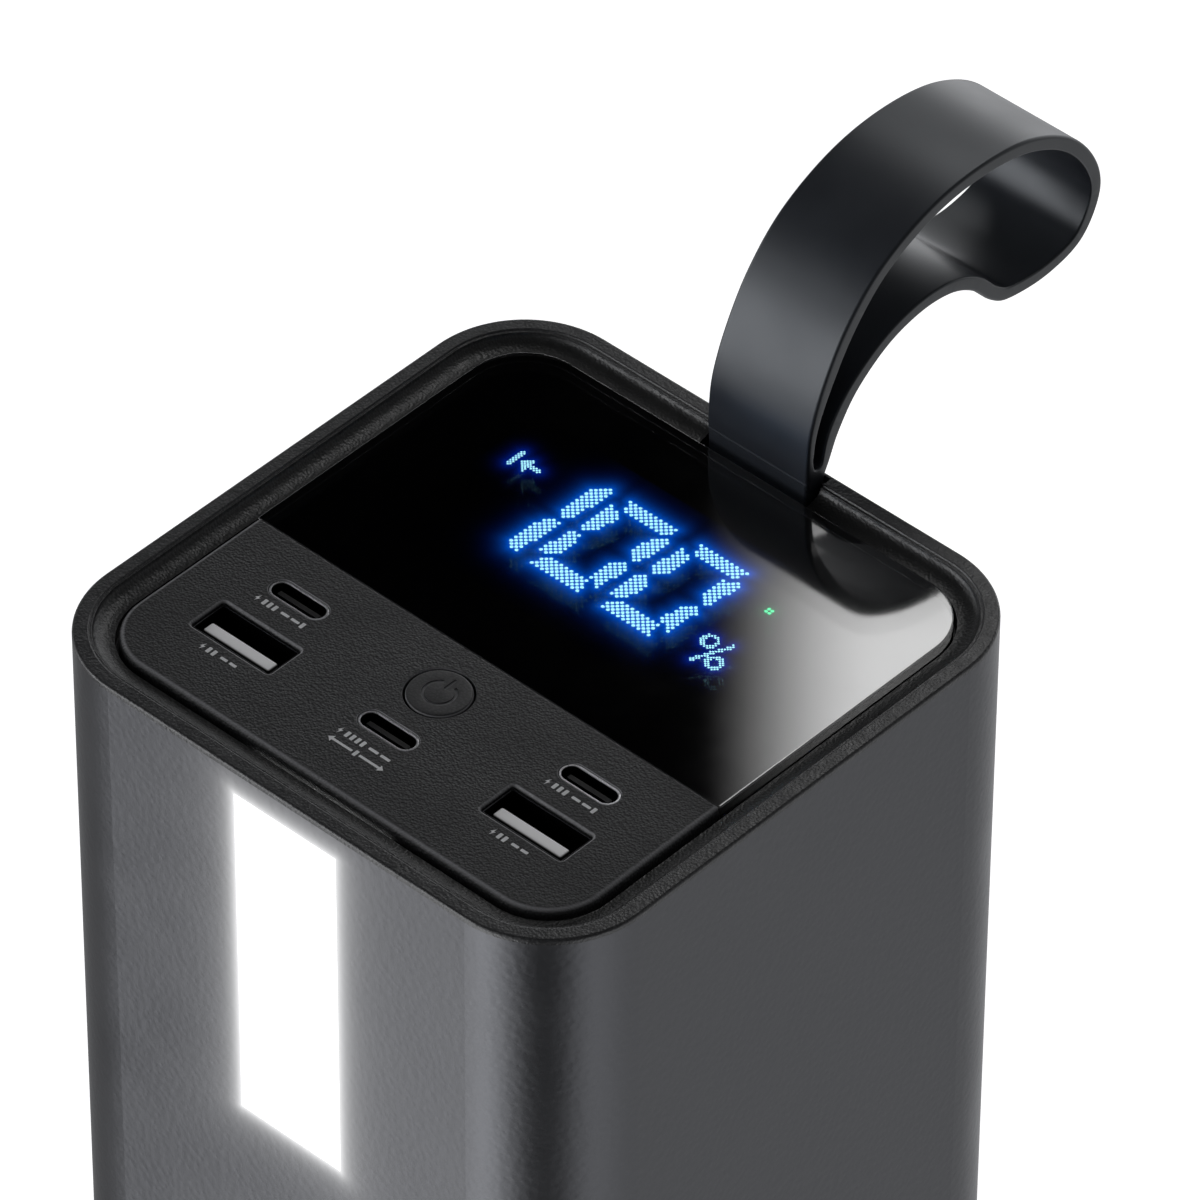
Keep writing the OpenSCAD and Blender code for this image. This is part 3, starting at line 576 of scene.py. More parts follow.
def socket_look():
    """Nickel-plated shells; painted shade leaves them bright at the opening and dark further in."""
    look = Look("socket_steel", (0.6, 0.6, 0.62), 0.3, Metallic=1.0)
    streaks = look.noise(0.12, 3, 0.6, look.stretched(1, 1, 12))
    # Painted shade: the colour darkens by height, from just below the panel's top down into the socket.
    painted_shade_by_depth = look.spread(look.axis("z"), (PANEL_TOP - 0.45) * MM, (PANEL_TOP - 0.2) * MM)
    look.set(look.shader, Base_Color=look.mix(painted_shade_by_depth, (0.02, 0.02, 0.022), (0.5, 0.5, 0.52)),
             Roughness=look.spread(streaks, 0.3, 0.7, 0.24, 0.4))
    look.relief(streaks, 0.004)
    return look.material


def board_look():
    """Green solder mask over copper tracks, with plated vias."""
    look = Look("board", (0.01, 0.09, 0.04), 0.32, Coat_Weight=0.3)
    tracks = look.tree.nodes.new("ShaderNodeTexBrick")
    look.set(tracks, Vector=look.place, Scale=1 / (3.2 * MM), Mortar_Size=0.05, Mortar_Smooth=0.1)
    vias = look.cells(2.4)
    copper = look.math("SUBTRACT", 1.0, tracks.outputs["Fac"])
    green = look.mix(copper, (0.012, 0.12, 0.05), (0.006, 0.07, 0.03))
    via = look.math("LESS_THAN", vias, 0.13)
    look.set(look.shader, Base_Color=look.mix(via, green, (0.6, 0.45, 0.2)),
             Metallic=look.math("MULTIPLY", via, 0.9))
    look.relief(copper, 0.03)
    return look.material


def pouch_look():
    """Laminated foil, slightly crinkled."""
    look = Look("pouch", (0.52, 0.53, 0.56), 0.3, Metallic=0.9)
    crinkle = look.cells(6, "SMOOTH_F1", 0.9)
    fine = look.noise(1.2, 4, 0.6)
    look.set(look.shader, Roughness=look.spread(fine, 0.3, 0.7, 0.24, 0.38),
             Base_Color=look.mix(fine, (0.46, 0.47, 0.5), (0.56, 0.57, 0.6)))
    look.relief(crinkle, 0.12)
    look.relief(fine, 0.03)
    return look.material


def foot_look():
    """Soft rubber with a fine moulded diamond pattern against slipping."""
    look = Look("foot_rubber", (0.02, 0.02, 0.021), 0.75)
    x, y = look.axis("x"), look.axis("y")
    waves = []
    for way in (look.math("ADD", x, y), look.math("SUBTRACT", x, y)):
        waves.append(look.math("SINE", look.math("MULTIPLY", way, math.tau / (2.6 * MM))))
    diamonds = look.math("MULTIPLY", waves[0], waves[1])
    look.relief(diamonds, 0.12)
    look.relief(look.noise(0.3, 3), 0.02)
    look.set(look.shader, Roughness=look.spread(look.noise(8, 2), 0.3, 0.7, 0.68, 0.82),
             Base_Color=look.mix(look.noise(8, 2), (0.017, 0.017, 0.018), (0.026, 0.026, 0.027)))
    return look.material


# Plain finishes: dark and light colour, roughness, size and depth of the relief, then metallic and spread
PLAIN = {
    "display_body": ((0.006, 0.006, 0.008), (0.012, 0.012, 0.014), 0.55, 0.3, 0.01),
    "port_white": ((0.72, 0.72, 0.73), (0.8, 0.8, 0.81), 0.45, 0.3, 0.006),
    "port_black": ((0.003, 0.003, 0.003), (0.005, 0.005, 0.005), 0.6, 0.3, 0.006),
    "switch_plastic": ((0.02, 0.02, 0.022), (0.04, 0.04, 0.042), 0.4, 0.3, 0.01),
    "lamp_board": ((0.75, 0.77, 0.75), (0.85, 0.87, 0.85), 0.35, 0.4, 0.005),
    "ferrite": ((0.05, 0.05, 0.055), (0.09, 0.09, 0.1), 0.55, 0.25, 0.03, 0.2),
    "chip": ((0.02, 0.02, 0.022), (0.035, 0.035, 0.037), 0.6, 0.15, 0.012),
    "connector": ((0.72, 0.69, 0.58), (0.82, 0.79, 0.68), 0.42, 0.3, 0.008),
    "foam": ((0.03, 0.03, 0.032), (0.06, 0.06, 0.063), 0.9, 0.5, 0.15, 0.0, 0.05),
    "wire_red": ((0.5, 0.02, 0.015), (0.62, 0.03, 0.02), 0.4, 0.4, 0.01),
    "wire_black": ((0.015, 0.015, 0.016), (0.03, 0.03, 0.031), 0.4, 0.4, 0.01),
    "frame_plastic": ((0.62, 0.61, 0.57), (0.72, 0.71, 0.67), 0.5, 0.4, 0.015),
}
# Metals: colour, roughness and the grain's stretch along each axis
METALS = {
    "screw_steel": ((0.5, 0.5, 0.52), 0.32),
    "clamp_steel": ((0.58, 0.58, 0.6), 0.35, (12, 1, 1)),
    "contact_gold": ((0.85, 0.62, 0.28), 0.25),
    "capacitor_can": ((0.7, 0.7, 0.73), 0.25, (1, 1, 9)),
    "nickel": ((0.66, 0.64, 0.6), 0.3, (1, 9, 1)),
}
LOOKS = {
    "sleeve": sleeve_look(),
    "case_plastic": moulded_look("case_plastic", 1.0),
    "lens": lens_look(),
    "figure_light": light_look("figure_light", (0.40, 0.88, 1.0), 7.4),
    "status_green": light_look("status_green", (0.02, 0.75, 0.28), 9.0),
    "lamp_white": lamp_look(),
    "silicone": strap_look(),
    "foot_rubber": foot_look(),
    "socket_steel": socket_look(),
    "board": board_look(),
    "pouch": pouch_look(),
}
LOOKS.update({name: shade(name, *finish) for name, finish in PLAIN.items()})
LOOKS.update({name: metal_look(name, *finish) for name, finish in METALS.items()})
RIM_LOOK = rim_look()
# The panel's and the button's edges get the painted highlight of moulded_look.
PANEL_LOOK = moulded_look("panel_plastic", 1.0, edges=True)
BUTTON_LOOK = moulded_look("button_plastic", 0.25, edges=True, specular=0.5)
TONGUE_LOOK = tongue_look()
FILM_LOOK = film_look()
PRINT_LOOK = shade("print_grey", (0.78, 0.78, 0.79), (0.88, 0.88, 0.89), 0.6, 0.2, 0.004)
SHELF_LOOK = shade("shelf_black", (0.0015, 0.0015, 0.0015), (0.002, 0.002, 0.002), 0.8, 0.2, 0.002,
                   specular=0.1)


def dress_cad_nodes():
    """Gives every CAD node the look of the slot that the record names for it."""
    for part in frame["record"]["subparts"]:
        mesh = nodes[part["node"]].data
        mesh.materials.clear()
        mesh.materials.append(LOOKS[part["material_slot"]])
    for name in USB_A_TONGUES:
        nodes[name].data.materials[0] = TONGUE_LOOK


def soften(names, width, segments=2):
    """Small rounded edges on CAD nodes, by modifiers alone."""
    for name in names:
        obj = nodes[name]
        weld = obj.modifiers.new("weld", "WELD")
        weld.merge_threshold = 1e-6
        flat = obj.modifiers.new("flat", "DECIMATE")
        flat.decimate_type, flat.angle_limit = "DISSOLVE", math.radians(1)
        edge = obj.modifiers.new("edge", "BEVEL")
        edge.width, edge.segments, edge.limit_method = width * MM, segments, "ANGLE"
        edge.angle_limit = math.radians(40)
        obj.modifiers.new("even_normals", "WEIGHTED_NORMAL")


# ---- Rim, panel and lens ---------------------------------

def rim_profile():
    """The rim's section, as (distance in from the sleeve's face, height over the rim's top)."""
    cove_start, cove_end = BAND + 0.45, HALF - PANEL_HALF - 0.6
    cove_depth = 1.5
    seat, shelf_bottom = TOP - PANEL_BOTTOM, TOP - PANEL_BOTTOM + 1.8
    shelf_end = cove_end + 4.3
    skirt_out, skirt_in = 1.5, 3.0
    cove = [Vector((cove_end - (cove_end - cove_start) * math.cos(a), -STEP - cove_depth * math.sin(a)))
            for a in [math.radians(90 * k / 16) for k in range(17)]]
    over_the_band = fillet([(0, -FLANGE_T, 0), (0, 0, 0.4), (BAND, 0, 0.18), (BAND + 0.12, -STEP, 0.06),
                            (cove_start, -STEP, 0.07), (cove_start + 0.02, -STEP - 0.2, 0)])
    below = [(cove_end, -seat), (shelf_end, -seat), (shelf_end, -shelf_bottom), (skirt_in, -shelf_bottom),
             (skirt_in, RIM_BOTTOM - TOP), (skirt_out, RIM_BOTTOM - TOP), (skirt_out, -FLANGE_T)]
    return over_the_band + cove[3:] + [Vector(p) for p in below]


def rim():
    """The moulded rim: flat band, small step, hollow cove, gap round the panel and the shelf under it."""
    outline = rounded_box(0, 0, 2 * HALF, 2 * HALF, CORNER, 24)
    shape = Shape()
    shape.skin([shape.ring(offset(outline, p.x), TOP + p.y) for p in rim_profile()], closed=True)
    obj = to_object(shape, "rim")
    tray_low, tray_high = box_mm("lamp_tray")
    slot_x = box_mm("strap_loop")[1].x + 0.6
    past = 1.0
    strap_slot = block((-slot_x, PANEL_HALF + 0.1, RIM_BOTTOM - past), (slot_x, HALF - 0.6, TOP + past))
    lamp_notch = block((tray_low.x - 0.5, -HALF + 0.7, RIM_BOTTOM - past),
                       (tray_high.x + 0.5, tray_high.y + 0.4, TOP - 2.6))
    carve(obj, [strap_slot, lamp_notch])
    return finish_piece(obj, RIM_LOOK, stands_for=["top_bezel"])


def socket_openings():
    """The panel's openings for the five sockets and the button, with the radius of each one's edge."""
    found = []
    for name in USB_C_SHELLS:
        centre, size = middle_mm(name)
        w, d = size.x + 0.16, size.y + 0.16
        found.append((rounded_box(centre.x, centre.y, w, d, d / 2, 12), 0.18))
    for name in USB_A_SHELLS:
        centre, size = middle_mm(name)
        found.append((rounded_box(centre.x, centre.y, size.x + 0.2, size.y + 0.2, 0.5, 6), 0.5))
    button = middle_mm("power_button")[0]
    found.append((disc(button.x, button.y, BUTTON_R + BUTTON_GAP), 0.12))
    return found


def rounding(drop, r):
    """How far a rounded edge stands back, at some drop below its flat face."""
    return r - math.sqrt(max(r * r - max(r - drop, 0) ** 2, 0))


def port_panel():
    """The grained panel with its ports, whose rear edge is cut off straight and crisp against the lens."""
    x, r = PANEL_HALF, PANEL_CORNER
    rear = LENS_FRONT + PANEL_EDGE
    outline = arc(-x + r, -x + r, r, 180, 270, 20) + arc(x - r, -x + r, r, 270, 360, 20) \
        + [Vector((x, rear)), Vector((-x, rear))]
    openings = [(hole(loop), edge, 0) for loop, edge in socket_openings()]
    shape = Shape()
    shape.slab([(outline, PANEL_EDGE, 0), *openings], PANEL_TOP, PANEL_BOTTOM)
    shape.points = [(x, min(y, LENS_FRONT - rounding(PANEL_TOP - z, 0.14)), z) for x, y, z in shape.points]
    return finish_piece(to_object(shape, "port_panel"), PANEL_LOOK, stands_for=["top_plate"])


def lens_shelf():
    """The black plate that runs on under the lens, with the display's window."""
    x, r = PANEL_HALF, PANEL_CORNER
    outline = [Vector((-x, LENS_FRONT)), Vector((x, LENS_FRONT))] \
        + arc(x - r, x - r, r, 0, 90, 20) + arc(-x + r, x - r, r, 90, 180, 20)
    centre, size = middle_mm("display_module")
    window = rounded_box(centre.x, centre.y, size.x + 0.4, size.y + 0.4, 0.4, 3)
    shape = Shape()
    shape.slab([(outline, 0, 0), (hole(window), 0, 0)], DISPLAY_HIGH.z - 0.03, PANEL_BOTTOM)
    return finish_piece(to_object(shape, "lens_shelf"), SHELF_LOOK, stands_for=["top_plate"])


def lens():
    r, edge, front_r = PANEL_CORNER, 0.22, 0.4
    x = PANEL_HALF
    outline = arc(-x + front_r, LENS_FRONT + front_r, front_r, 180, 270, 4) \
        + arc(x - front_r, LENS_FRONT + front_r, front_r, 270, 360, 4) \
        + arc(x - r, x - r, r, 0, 90, 24) + arc(-x + r, x - r, r, 90, 180, 24)
    shape = Shape()
    shape.slab([(outline, edge, 0.05)], LENS_HIGH.z, LENS_LOW.z)
    return finish_piece(to_object(shape, "lens"), LOOKS["lens"], stands_for=["display_lens"])


# ---- Button ----------------------------------------------

def power_mark(line=0.38, ring_r=2.05, opening=62):
    """Outlines of a ring that is open at the top and of the bar that stands in the gap."""
    low, high = 90 + opening / 2, 450 - opening / 2
    outer, inner = ring_r + line / 2, ring_r - line / 2
    ends = []
    for angle, start in ((high, high), (low, low + 180)):
        x, y = ring_r * math.cos(math.radians(angle)), ring_r * math.sin(math.radians(angle))
        ends.append(arc(x, y, line / 2, start, start + 180, 5)[1:-1])
    ring = arc(0, 0, outer, low, high, 40) + ends[0] + arc(0, 0, inner, high, low, 40) + ends[1]
    bar = rounded_box(0, ring_r - 0.15, line, 2.1, line / 2, 5)
    return ring, bar


def power_button():
    """The button's cap with its sunk mark, its hidden flange, and the stem that meets the switch."""
    centre = middle_mm("power_button")[0]
    low, high = box_mm("power_button")
    moved = [[p + Vector((centre.x, centre.y)) for p in loop] for loop in power_mark()]
    flange_r, flange_top, flange_bottom = (high.x - low.x) / 2, PANEL_BOTTOM - 0.1, PANEL_BOTTOM - 1.1
    stem_r = 1.77
    shape = Shape()
    shape.slab([(disc(centre.x, centre.y, BUTTON_R, 96), 0.35, 0)], high.z, flange_top - 0.5,
               [(loop, 0.05, 0.2) for loop in moved])
    shape.slab([(disc(centre.x, centre.y, flange_r), 0.1, 0.1)], flange_top, flange_bottom)
    shape.slab([(disc(centre.x, centre.y, stem_r, 32), 0, 0.1)], flange_bottom + 0.1, low.z)
    return finish_piece(to_object(shape, "power_button_cap"), BUTTON_LOOK, "button",
                        ["power_button"])


# ---- Display ---------------------------------------------

DOT_PITCH = 0.84
DOT_R = 0.25
MARK_PITCH = 0.5
MARK_R = 0.155
GLOW_MARGIN = 2.5  # how far the display's film runs on past the module


def dots_within(loops, pitch):
    """Places of dots on a diamond grid inside closed outlines."""
    points = [p for loop in loops for p in loop]
    low = Vector((min(p.x for p in points), min(p.y for p in points)))
    high = Vector((max(p.x for p in points), max(p.y for p in points)))
    found = []
    for row in range(int((high.y - low.y) * 2 / pitch) + 1):
        for column in range(int((high.x - low.x) / pitch) + 2):
            place = Vector((low.x + pitch * (column - 0.5 * (row % 2)), low.y + (row + 0.5) * pitch / 2))
            if inside(place, loops):
                found.append(place)
    return found


def dots(name, node, slot, places, r):
    """Low round lenses of light at the given places, on the display's face."""
    shape = Shape()
    sides, rise = 10, 0.06
    z = box_mm(node)[1].z + 0.02
    for place in places:
        rim_ring = shape.ring(disc(place.x, place.y, r, sides), z)
        crown = shape.ring(disc(place.x, place.y, r * 0.55, sides), z + rise)
        shape.skin([crown, rim_ring])
        shape.faces.append(tuple(crown))
        shape.faces.append(tuple(rim_ring[::-1]))
    return finish_piece(to_object(shape, name), LOOKS[slot], stands_for=[node])


def flat_grid(low, high, z, step):
    """A level sheet of small quads."""
    columns, rows = int((high.x - low.x) / step), int((high.y - low.y) / step)
    dx, dy = (high.x - low.x) / columns, (high.y - low.y) / rows
    shape = Shape()
    shape.points = [(low.x + dx * i, low.y + dy * j, z) for j in range(rows + 1) for i in range(columns + 1)]
    for j in range(rows):
        for i in range(columns):
            a = j * (columns + 1) + i
            shape.faces.append((a, a + 1, a + columns + 2, a + columns + 1))
    return shape


def nearest_finder(places):
    """A function that gives a point's distance to the nearest of some places, in millimetres."""
    tree = KDTree(len(places))
    for k, place in enumerate(places):
        tree.insert((place.x, place.y, 0), k)
    tree.balance()
    return lambda point: tree.find((point.x / MM, point.y / MM, 0))[2]


def display_film(glows):
    """A fine mesh over the display's face that keeps how brightly the dots near each point light it.

    A glow is (places, colour, reach in millimetres, strength).
    """
    margin = Vector((GLOW_MARGIN, GLOW_MARGIN, 0))
    sheet = flat_grid(DISPLAY_LOW - margin, DISPLAY_HIGH + margin, DISPLAY_HIGH.z + 0.01, 0.4)
    obj = to_object(sheet, "display_film")
    lights = [(nearest_finder(places), Vector(colour) * strength, reach)
              for places, colour, reach, strength in glows]
    kept = obj.data.attributes.new("glow", "FLOAT_COLOR", "POINT").data
    for v in obj.data.vertices:
        total = Vector((0, 0, 0))
        for distance, colour, reach in lights:
            total += colour * math.exp(-distance(v.co) / reach)
        kept[v.index].color = (*total, 1)
    return finish_piece(obj, FILM_LOOK)


def display():
    segments = [loop if area(loop) > 0 else loop[::-1] for loop in end_loops("lit_figures", 2)]
    figures = dots_within([offset(loop, -0.1) for loop in segments], DOT_PITCH)
    marks = dots_within(end_loops("lit_marks", 2), MARK_PITCH)
    centre = middle_mm("status_light")[0]
    status = [Vector((centre.x + sx * 0.27, centre.y + sy * 0.27)) for sx in (-1, 1) for sy in (-1, 1)]
    dots("figure_dots", "lit_figures", "figure_light", figures, DOT_R)
    dots("mark_dots", "lit_marks", "figure_light", marks, MARK_R)
    dots("status_dots", "status_light", "status_green", status, 0.24)
    display_film([(figures, (0.0, 0.16, 1.0), 0.75, 4.5), (figures, (0.0, 0.05, 1.0), 1.2, 0.6),
                  (marks, (0.0, 0.06, 1.0), 0.55, 2.0), (status, (0.0, 0.6, 0.2), 0.5, 1.2)])


# ---- Printed marks ---------------------------------------

def bolt(x, y, h):
    """A lightning bolt, for fast charging."""
    return [Vector((x + h * u, y + h * v)) for u, v in
            ((-0.05, -0.5), (0.28, 0.1), (0.04, 0.1), (0.12, 0.5), (-0.24, -0.08), (0.0, -0.08))]


def bars(x, y, count, w, h, gap):
    return [rounded_box(x + i * (w + gap), y, w, h, 0.1, 2) for i in range(count)]


def arrow(x, y, l, h, way):
    """A straight arrow from x, pointing along X where way is 1 and against it where way is -1."""
    tail = h * 0.16
    shape = ((0, -tail), (l - h * 0.6, -tail), (l - h * 0.6, -h / 2), (l, 0), (l - h * 0.6, h / 2),
             (l - h * 0.6, tail), (0, tail))
    points = [Vector((x + way * u, y + v)) for u, v in shape]
    return points if way > 0 else points[::-1]


MARK_H = 1.25
BAR_W, BAR_H = 0.5, MARK_H * 0.8


def level_mark(port, drop, bolt_x, bars_x, count, dashes_x, dash_w):
    """A bolt, level bars for the port's power and two dashes, at a drop in front of the port's middle."""
    y = port.y - drop
    return [bolt(port.x + bolt_x, y, MARK_H), *bars(port.x + bars_x, y, count, BAR_W, BAR_H, 0.35),
            *bars(port.x + dashes_x, y, 2, dash_w, 0.42, 0.4)]


def port_marks():
    """Small prints beside the ports: a bolt and level bars, and a pair of arrows for the two-way port."""
    shapes = []
    for usb_c, usb_a in ((USB_C_SHELLS[0], USB_A_SHELLS[0]), (USB_C_SHELLS[2], USB_A_SHELLS[1])):
        port = middle_mm(usb_c)[0]
        shapes += level_mark(port, 3.15, -3.9, -2.7, 3, 0.7, 1.3)
        shapes += bars(port.x + 3.6, port.y - 3.15, 1, BAR_W, BAR_H, 0)
        shapes += level_mark(middle_mm(usb_a)[0], 4.75, -2.7, -1.6, 2, 0.9, 1.1)
    port = middle_mm(USB_C_SHELLS[1])[0]
    shapes += level_mark(port, 3.9, -4.2, -3.0, 4, 1.3, 1.5)
    y = port.y - 5.65
    shapes += [arrow(port.x - 0.6, y, 3.9, MARK_H * 0.9, -1), arrow(port.x + 0.6, y, 3.9, MARK_H * 0.9, 1),
               rounded_box(port.x, y, BAR_W, BAR_H, 0.1, 2)]
    shape = Shape()
    for loop in shapes:
        if area(loop) < 0:
            loop = loop[::-1]
        shape.slab([(loop, 0, 0)], PANEL_TOP + 0.025, PANEL_TOP - 0.03)
    return finish_piece(to_object(shape, "port_marks"), PRINT_LOOK)


# ---- Strap -----------------------------------------------

def strap():
    """The silicone loop and the tail that its clamp holds, as one soft piece with rounded edges."""
    width = box_mm("strap_loop")[1].x
    loops = sorted(end_loops("strap_loop", 0), key=lambda l: -abs(area(l)))
    outline, slit = (loop if area(loop) > 0 else loop[::-1] for loop in loops[:2])
    shape = Shape()
    shape.slab([(smooth_loop(outline, 3), 0.45, 0.45), (hole(smooth_loop(slit, 3)), 0.3, 0.3)], width, -width)
    loop_low, loop_high = box_mm("strap_loop")
    rear, crest = loop_high.yz
    shape.points = [(min(y, rear), min(z, crest), x) for y, z, x in shape.points]
    low, high = box_mm("strap_tail")
    tail_top = TOP + 1.2
    tail_thick = high.y - loop_low.y - 0.1
    tail_middle = loop_low.y + tail_thick / 2
    tail = rounded_box(tail_middle, (low.z + tail_top) / 2, tail_thick, tail_top - low.z, 0.7, 4)
    shape.slab([(tail, 0.35, 0.35)], width - 0.2, -width + 0.2)
    obj = to_object(shape.turned((2, 0, 1)), "strap")
    finish_piece(obj, LOOKS["silicone"], None, ["strap_loop", "strap_tail"], sharp=50)
    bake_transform(obj)
    return obj


# ---- Camera, light and floor -----------------------------

CAMERA_ANGLES = (42.495, 41.917, 0.351)  # azimuth, elevation and roll, in degrees
CAMERA_FOCAL = 314.5
CAMERA_WAY = (0.007661, 0.002296, 1.2671)  # from the rim's centre, to the right, up and back, in metres


def add_camera():
    """A long lens, looking down at the display from the front right."""
    azimuth, elevation, roll = (math.radians(a) for a in CAMERA_ANGLES)
    back = Vector((math.sin(azimuth) * math.cos(elevation), -math.cos(azimuth) * math.cos(elevation),
                   math.sin(elevation)))
    right = Vector((math.cos(azimuth), math.sin(azimuth), 0))
    turned = Matrix.Rotation(roll, 3, back)
    right = turned @ right
    up = back.cross(right)
    data = bpy.data.cameras.new("camera")
    data.lens, data.sensor_width = CAMERA_FOCAL, 36
    camera = bpy.data.objects.new("camera", data)
    bpy.context.scene.collection.objects.link(camera)
    camera.matrix_world = Matrix((right, up, back)).transposed().to_4x4()
    aside, above, behind = CAMERA_WAY
    camera.location = Vector((0, 0, TOP * MM)) + back * behind + right * aside + up * above
    bpy.context.scene.camera = camera


# How brightly the studio shines at the object from each azimuth, in degrees from +X towards +Y
FROM_BELOW = ((-180, 0.3), (-155, 0.3), (-133, 0.25), (-111, 4.4), (-95, 2.5), (-72, 0.1), (-36, 0.1),
              (-10, 1.75), (20, 1.05), (47, 0.66), (80, 0.8), (120, 0.9), (180, 0.3))
FROM_LEVEL = ((-180, 0.3), (-150, 3.0), (-125, 5.5), (-100, 1.4), (-60, 0.1), (0, 0.2), (50, 0.5), (90, 1.6),
              (125, 2.2), (155, 0.6), (180, 0.3))
FROM_ABOVE = ((-180, 0.12), (-150, 0.06), (-60, 0.1), (0, 0.12), (60, 0.15), (100, 0.16), (150, 0.16),
              (180, 0.12))
FRONT_WAY = (227.5, -42)  # azimuth and elevation of what the front wall mirrors
DARK_WAY = (132.5, 42)  # azimuth and elevation of what the lens mirrors
STRONGEST = 5.5


def direction(azimuth, elevation):
    a, e = math.radians(azimuth), math.radians(elevation)
    return Vector((math.cos(a) * math.cos(e), math.sin(a) * math.cos(e), math.sin(e)))


class Sky:
    """The world's nodes: white behind the object, and a dark studio with broad soft lights to shade it."""

    def __init__(self):
        self.world = bpy.data.worlds.new("studio")
        self.world.use_nodes = True
        self.tree = self.world.node_tree
        self.tree.nodes.clear()
        self.way = self.tree.nodes.new("ShaderNodeTexCoord").outputs["Generated"]

    def math(self, operation, *values):
        made = self.tree.nodes.new("ShaderNodeMath")
        made.operation = operation
        for socket, value in zip(made.inputs, values):
            if isinstance(value, bpy.types.NodeSocket):
                self.tree.links.new(value, socket)
            else:
                socket.default_value = value
        return made.outputs[0]

    def blend(self, share, first, second):
        kept = self.math("MULTIPLY", first, self.math("SUBTRACT", 1.0, share))
        return self.math("ADD", kept, self.math("MULTIPLY", second, share))

    def fade(self, value, start, end):
        made = self.tree.nodes.new("ShaderNodeMapRange")
        made.interpolation_type = "SMOOTHSTEP"
        self.tree.links.new(value, made.inputs["Value"])
        made.inputs["From Min"].default_value, made.inputs["From Max"].default_value = start, end
        return made.outputs["Result"]

    def ring(self, turn, stops):
        """A smooth profile round the horizon."""
        ramp = self.tree.nodes.new("ShaderNodeValToRGB")
        ramp.color_ramp.interpolation = "EASE"
        for azimuth, strength in stops[1:-1]:
            ramp.color_ramp.elements.new((azimuth + 180) / 360)
        for element, (azimuth, strength) in zip(ramp.color_ramp.elements, stops):
            element.position = (azimuth + 180) / 360
            element.color = (strength / STRONGEST,) * 3 + (1,)
        self.tree.links.new(turn, ramp.inputs["Fac"])
        return self.math("MULTIPLY", ramp.outputs["Color"], STRONGEST)

    def towards(self, azimuth, elevation):
        """The cosine of the angle to a direction."""
        dot = self.tree.nodes.new("ShaderNodeVectorMath")
        dot.operation = "DOT_PRODUCT"
        dot.inputs[1].default_value = direction(azimuth, elevation)
        self.tree.links.new(self.way, dot.inputs[0])
        return dot.outputs["Value"]

    def build(self):
        split = self.tree.nodes.new("ShaderNodeSeparateXYZ")
        self.tree.links.new(self.way, split.inputs[0])
        angle = self.math("ARCTAN2", split.outputs["Y"], split.outputs["X"])
        turn = self.math("ADD", self.math("DIVIDE", angle, math.tau), 0.5)
        raised = self.fade(split.outputs["Z"], -0.4, -0.05)
        high = self.fade(split.outputs["Z"], 0.25, 0.48)
        dark = self.fade(self.towards(*DARK_WAY), math.cos(math.radians(16)), math.cos(math.radians(9)))
        light = self.blend(raised, self.ring(turn, FROM_BELOW), self.ring(turn, FROM_LEVEL))
        light = self.blend(high, light, self.ring(turn, FROM_ABOVE))
        light = self.blend(dark, light, 0.0)
        studio, backdrop = (self.tree.nodes.new("ShaderNodeBackground") for _ in range(2))
        studio.inputs["Color"].default_value = (0.97, 0.98, 1.0, 1)
        self.tree.links.new(light, studio.inputs["Strength"])
        seen = self.tree.nodes.new("ShaderNodeLightPath").outputs["Is Camera Ray"]
        mix = self.tree.nodes.new("ShaderNodeMixShader")
        self.tree.links.new(seen, mix.inputs["Fac"])
        self.tree.links.new(studio.outputs[0], mix.inputs[1])
        self.tree.links.new(backdrop.outputs[0], mix.inputs[2])
        self.tree.links.new(mix.outputs[0], self.tree.nodes.new("ShaderNodeOutputWorld").inputs["Surface"])
        backdrop.inputs["Color"].default_value = (1, 1, 1, 1)
        return self.world


def add_floor():
    """A pale floor that only the camera sees, and only from above, so that the base shows from below."""
    bpy.ops.mesh.primitive_plane_add(size=8, location=(0, 0, -0.001))
    floor = bpy.context.object
    floor.name = "floor"
    look = Look("floor", (0.8, 0.8, 0.8), 0.9, Emission_Color=(1, 1, 1, 1), Emission_Strength=0.95)
    from_below = look.node("ShaderNodeNewGeometry").outputs["Backfacing"]
    look.set(look.shader, Alpha=look.math("SUBTRACT", 1.0, from_below))
    floor.data.materials.append(look.material)
    floor.visible_diffuse = floor.visible_glossy = floor.visible_transmission = False


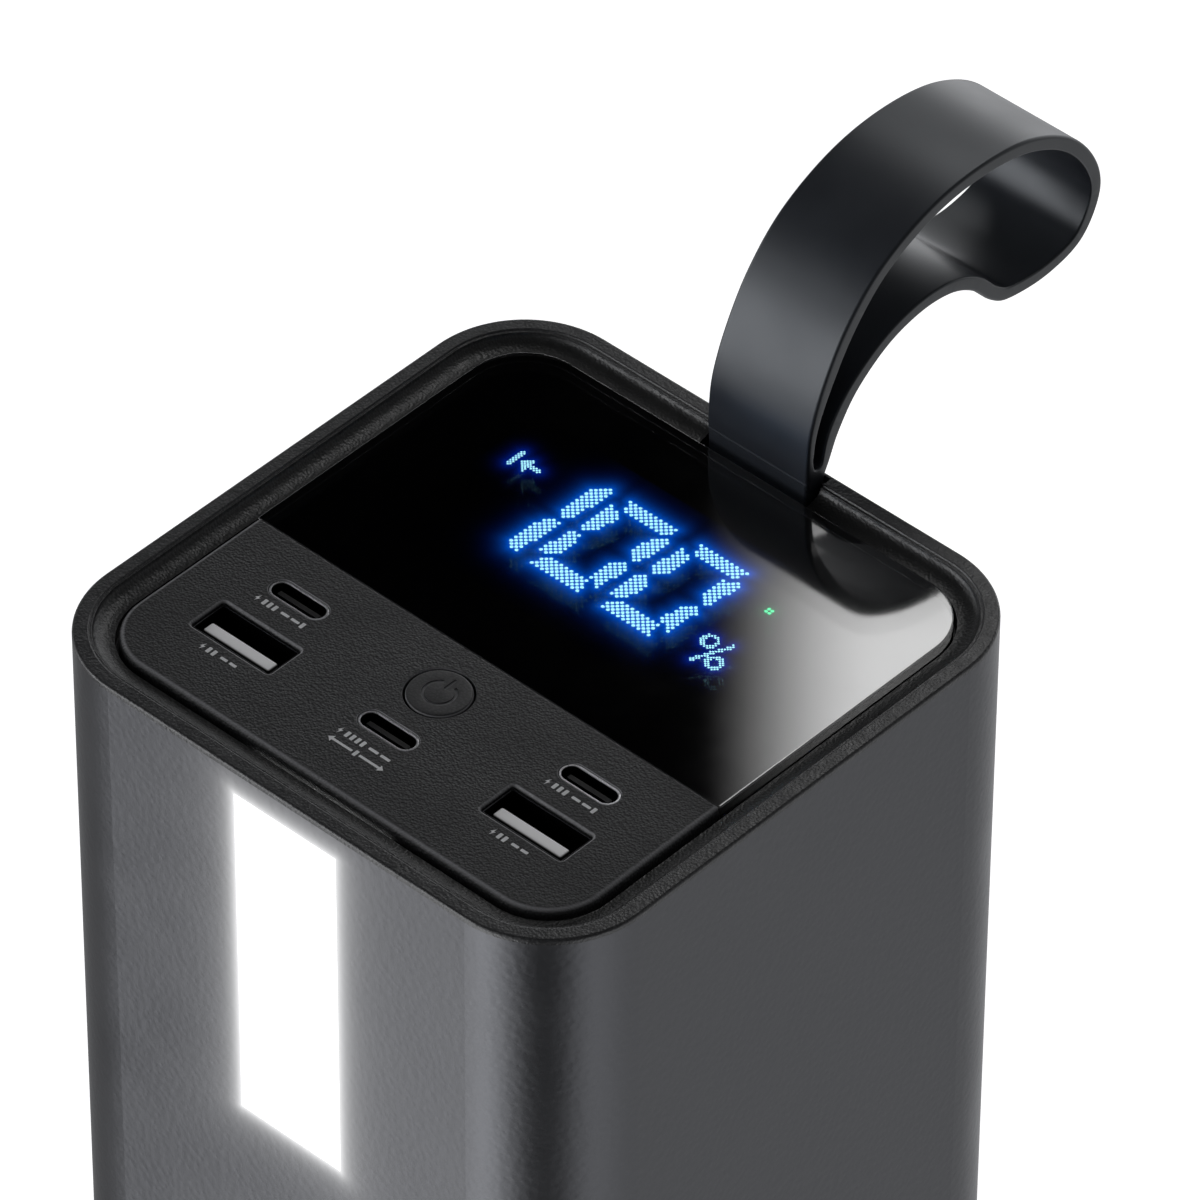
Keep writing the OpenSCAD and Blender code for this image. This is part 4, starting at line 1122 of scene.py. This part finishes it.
def add_glow_card(name, start, way, distance, shift, size, fades, strength):
    """A soft sheet of light that only reflections see, faded across its width and its height."""
    azimuth, elevation = way
    ahead, side = direction(azimuth, elevation), direction(azimuth - 90, 0)
    up = side.cross(ahead)
    centre = start + ahead * distance + side * shift
    mesh = bpy.data.meshes.new(name)
    places = ((0, 0), (1, 0), (1, 1), (0, 1))
    mesh.from_pydata([centre + side * (x - 0.5) * size[0] + up * (y - 0.5) * size[1] for x, y in places],
                     [], [(0, 1, 2, 3)])
    for loop, place in zip(mesh.uv_layers.new(name="card").data, places):
        loop.uv = place
    card = bpy.data.objects.new(name, mesh)
    bpy.context.scene.collection.objects.link(card)
    look = Look(name, (0, 0, 0), 1.0)
    across = look.node("ShaderNodeSeparateXYZ", Vector=look.node("ShaderNodeTexCoord").outputs["UV"])
    share = None
    for axis, low, high in fades:
        faded = look.spread(across.outputs[axis], low, high)
        faded.node.interpolation_type = "SMOOTHSTEP"
        share = faded if share is None else look.math("MULTIPLY", share, faded)
    glow = look.node("ShaderNodeEmission", Strength=look.math("MULTIPLY", share, strength))
    sheet = look.tree.nodes.new("ShaderNodeAddShader")
    look.tree.links.new(glow.outputs[0], sheet.inputs[0])
    look.tree.links.new(look.node("ShaderNodeBsdfTransparent").outputs[0], sheet.inputs[1])
    look.tree.links.new(sheet.outputs[0], look.tree.nodes["Material Output"].inputs["Surface"])
    card.data.materials.append(look.material)
    card.visible_camera = card.visible_diffuse = card.visible_shadow = False


# ---- The object ------------------------------------------

dress_cad_nodes()
soften(USB_C_SHELLS, 0.06)
soften(USB_A_SHELLS, 0.08)
soften(USB_A_TONGUES, 0.35, 3)
rim()
port_panel()
lens_shelf()
lens()
power_button()
display()
port_marks()
strap()
add_camera()
bpy.context.scene.world = Sky().build()
add_floor()
add_glow_card("lens_glow", Vector((PANEL_HALF * 0.9, PANEL_HALF * 0.3, PANEL_TOP)) * MM, DARK_WAY,
              distance=0.30, shift=0.0454, size=(0.11, 0.12),
              fades=(("X", 0.0, 0.25), ("Y", 0.1, 0.45)), strength=3.8)
add_glow_card("front_glow", Vector((0, -HALF, TOP - 50)) * MM, FRONT_WAY,
              distance=0.12, shift=0.0, size=(0.08, 0.4), fades=(("X", 0.85, 0.1),), strength=1.7)
bpy.context.scene.view_settings.view_transform = "Standard"
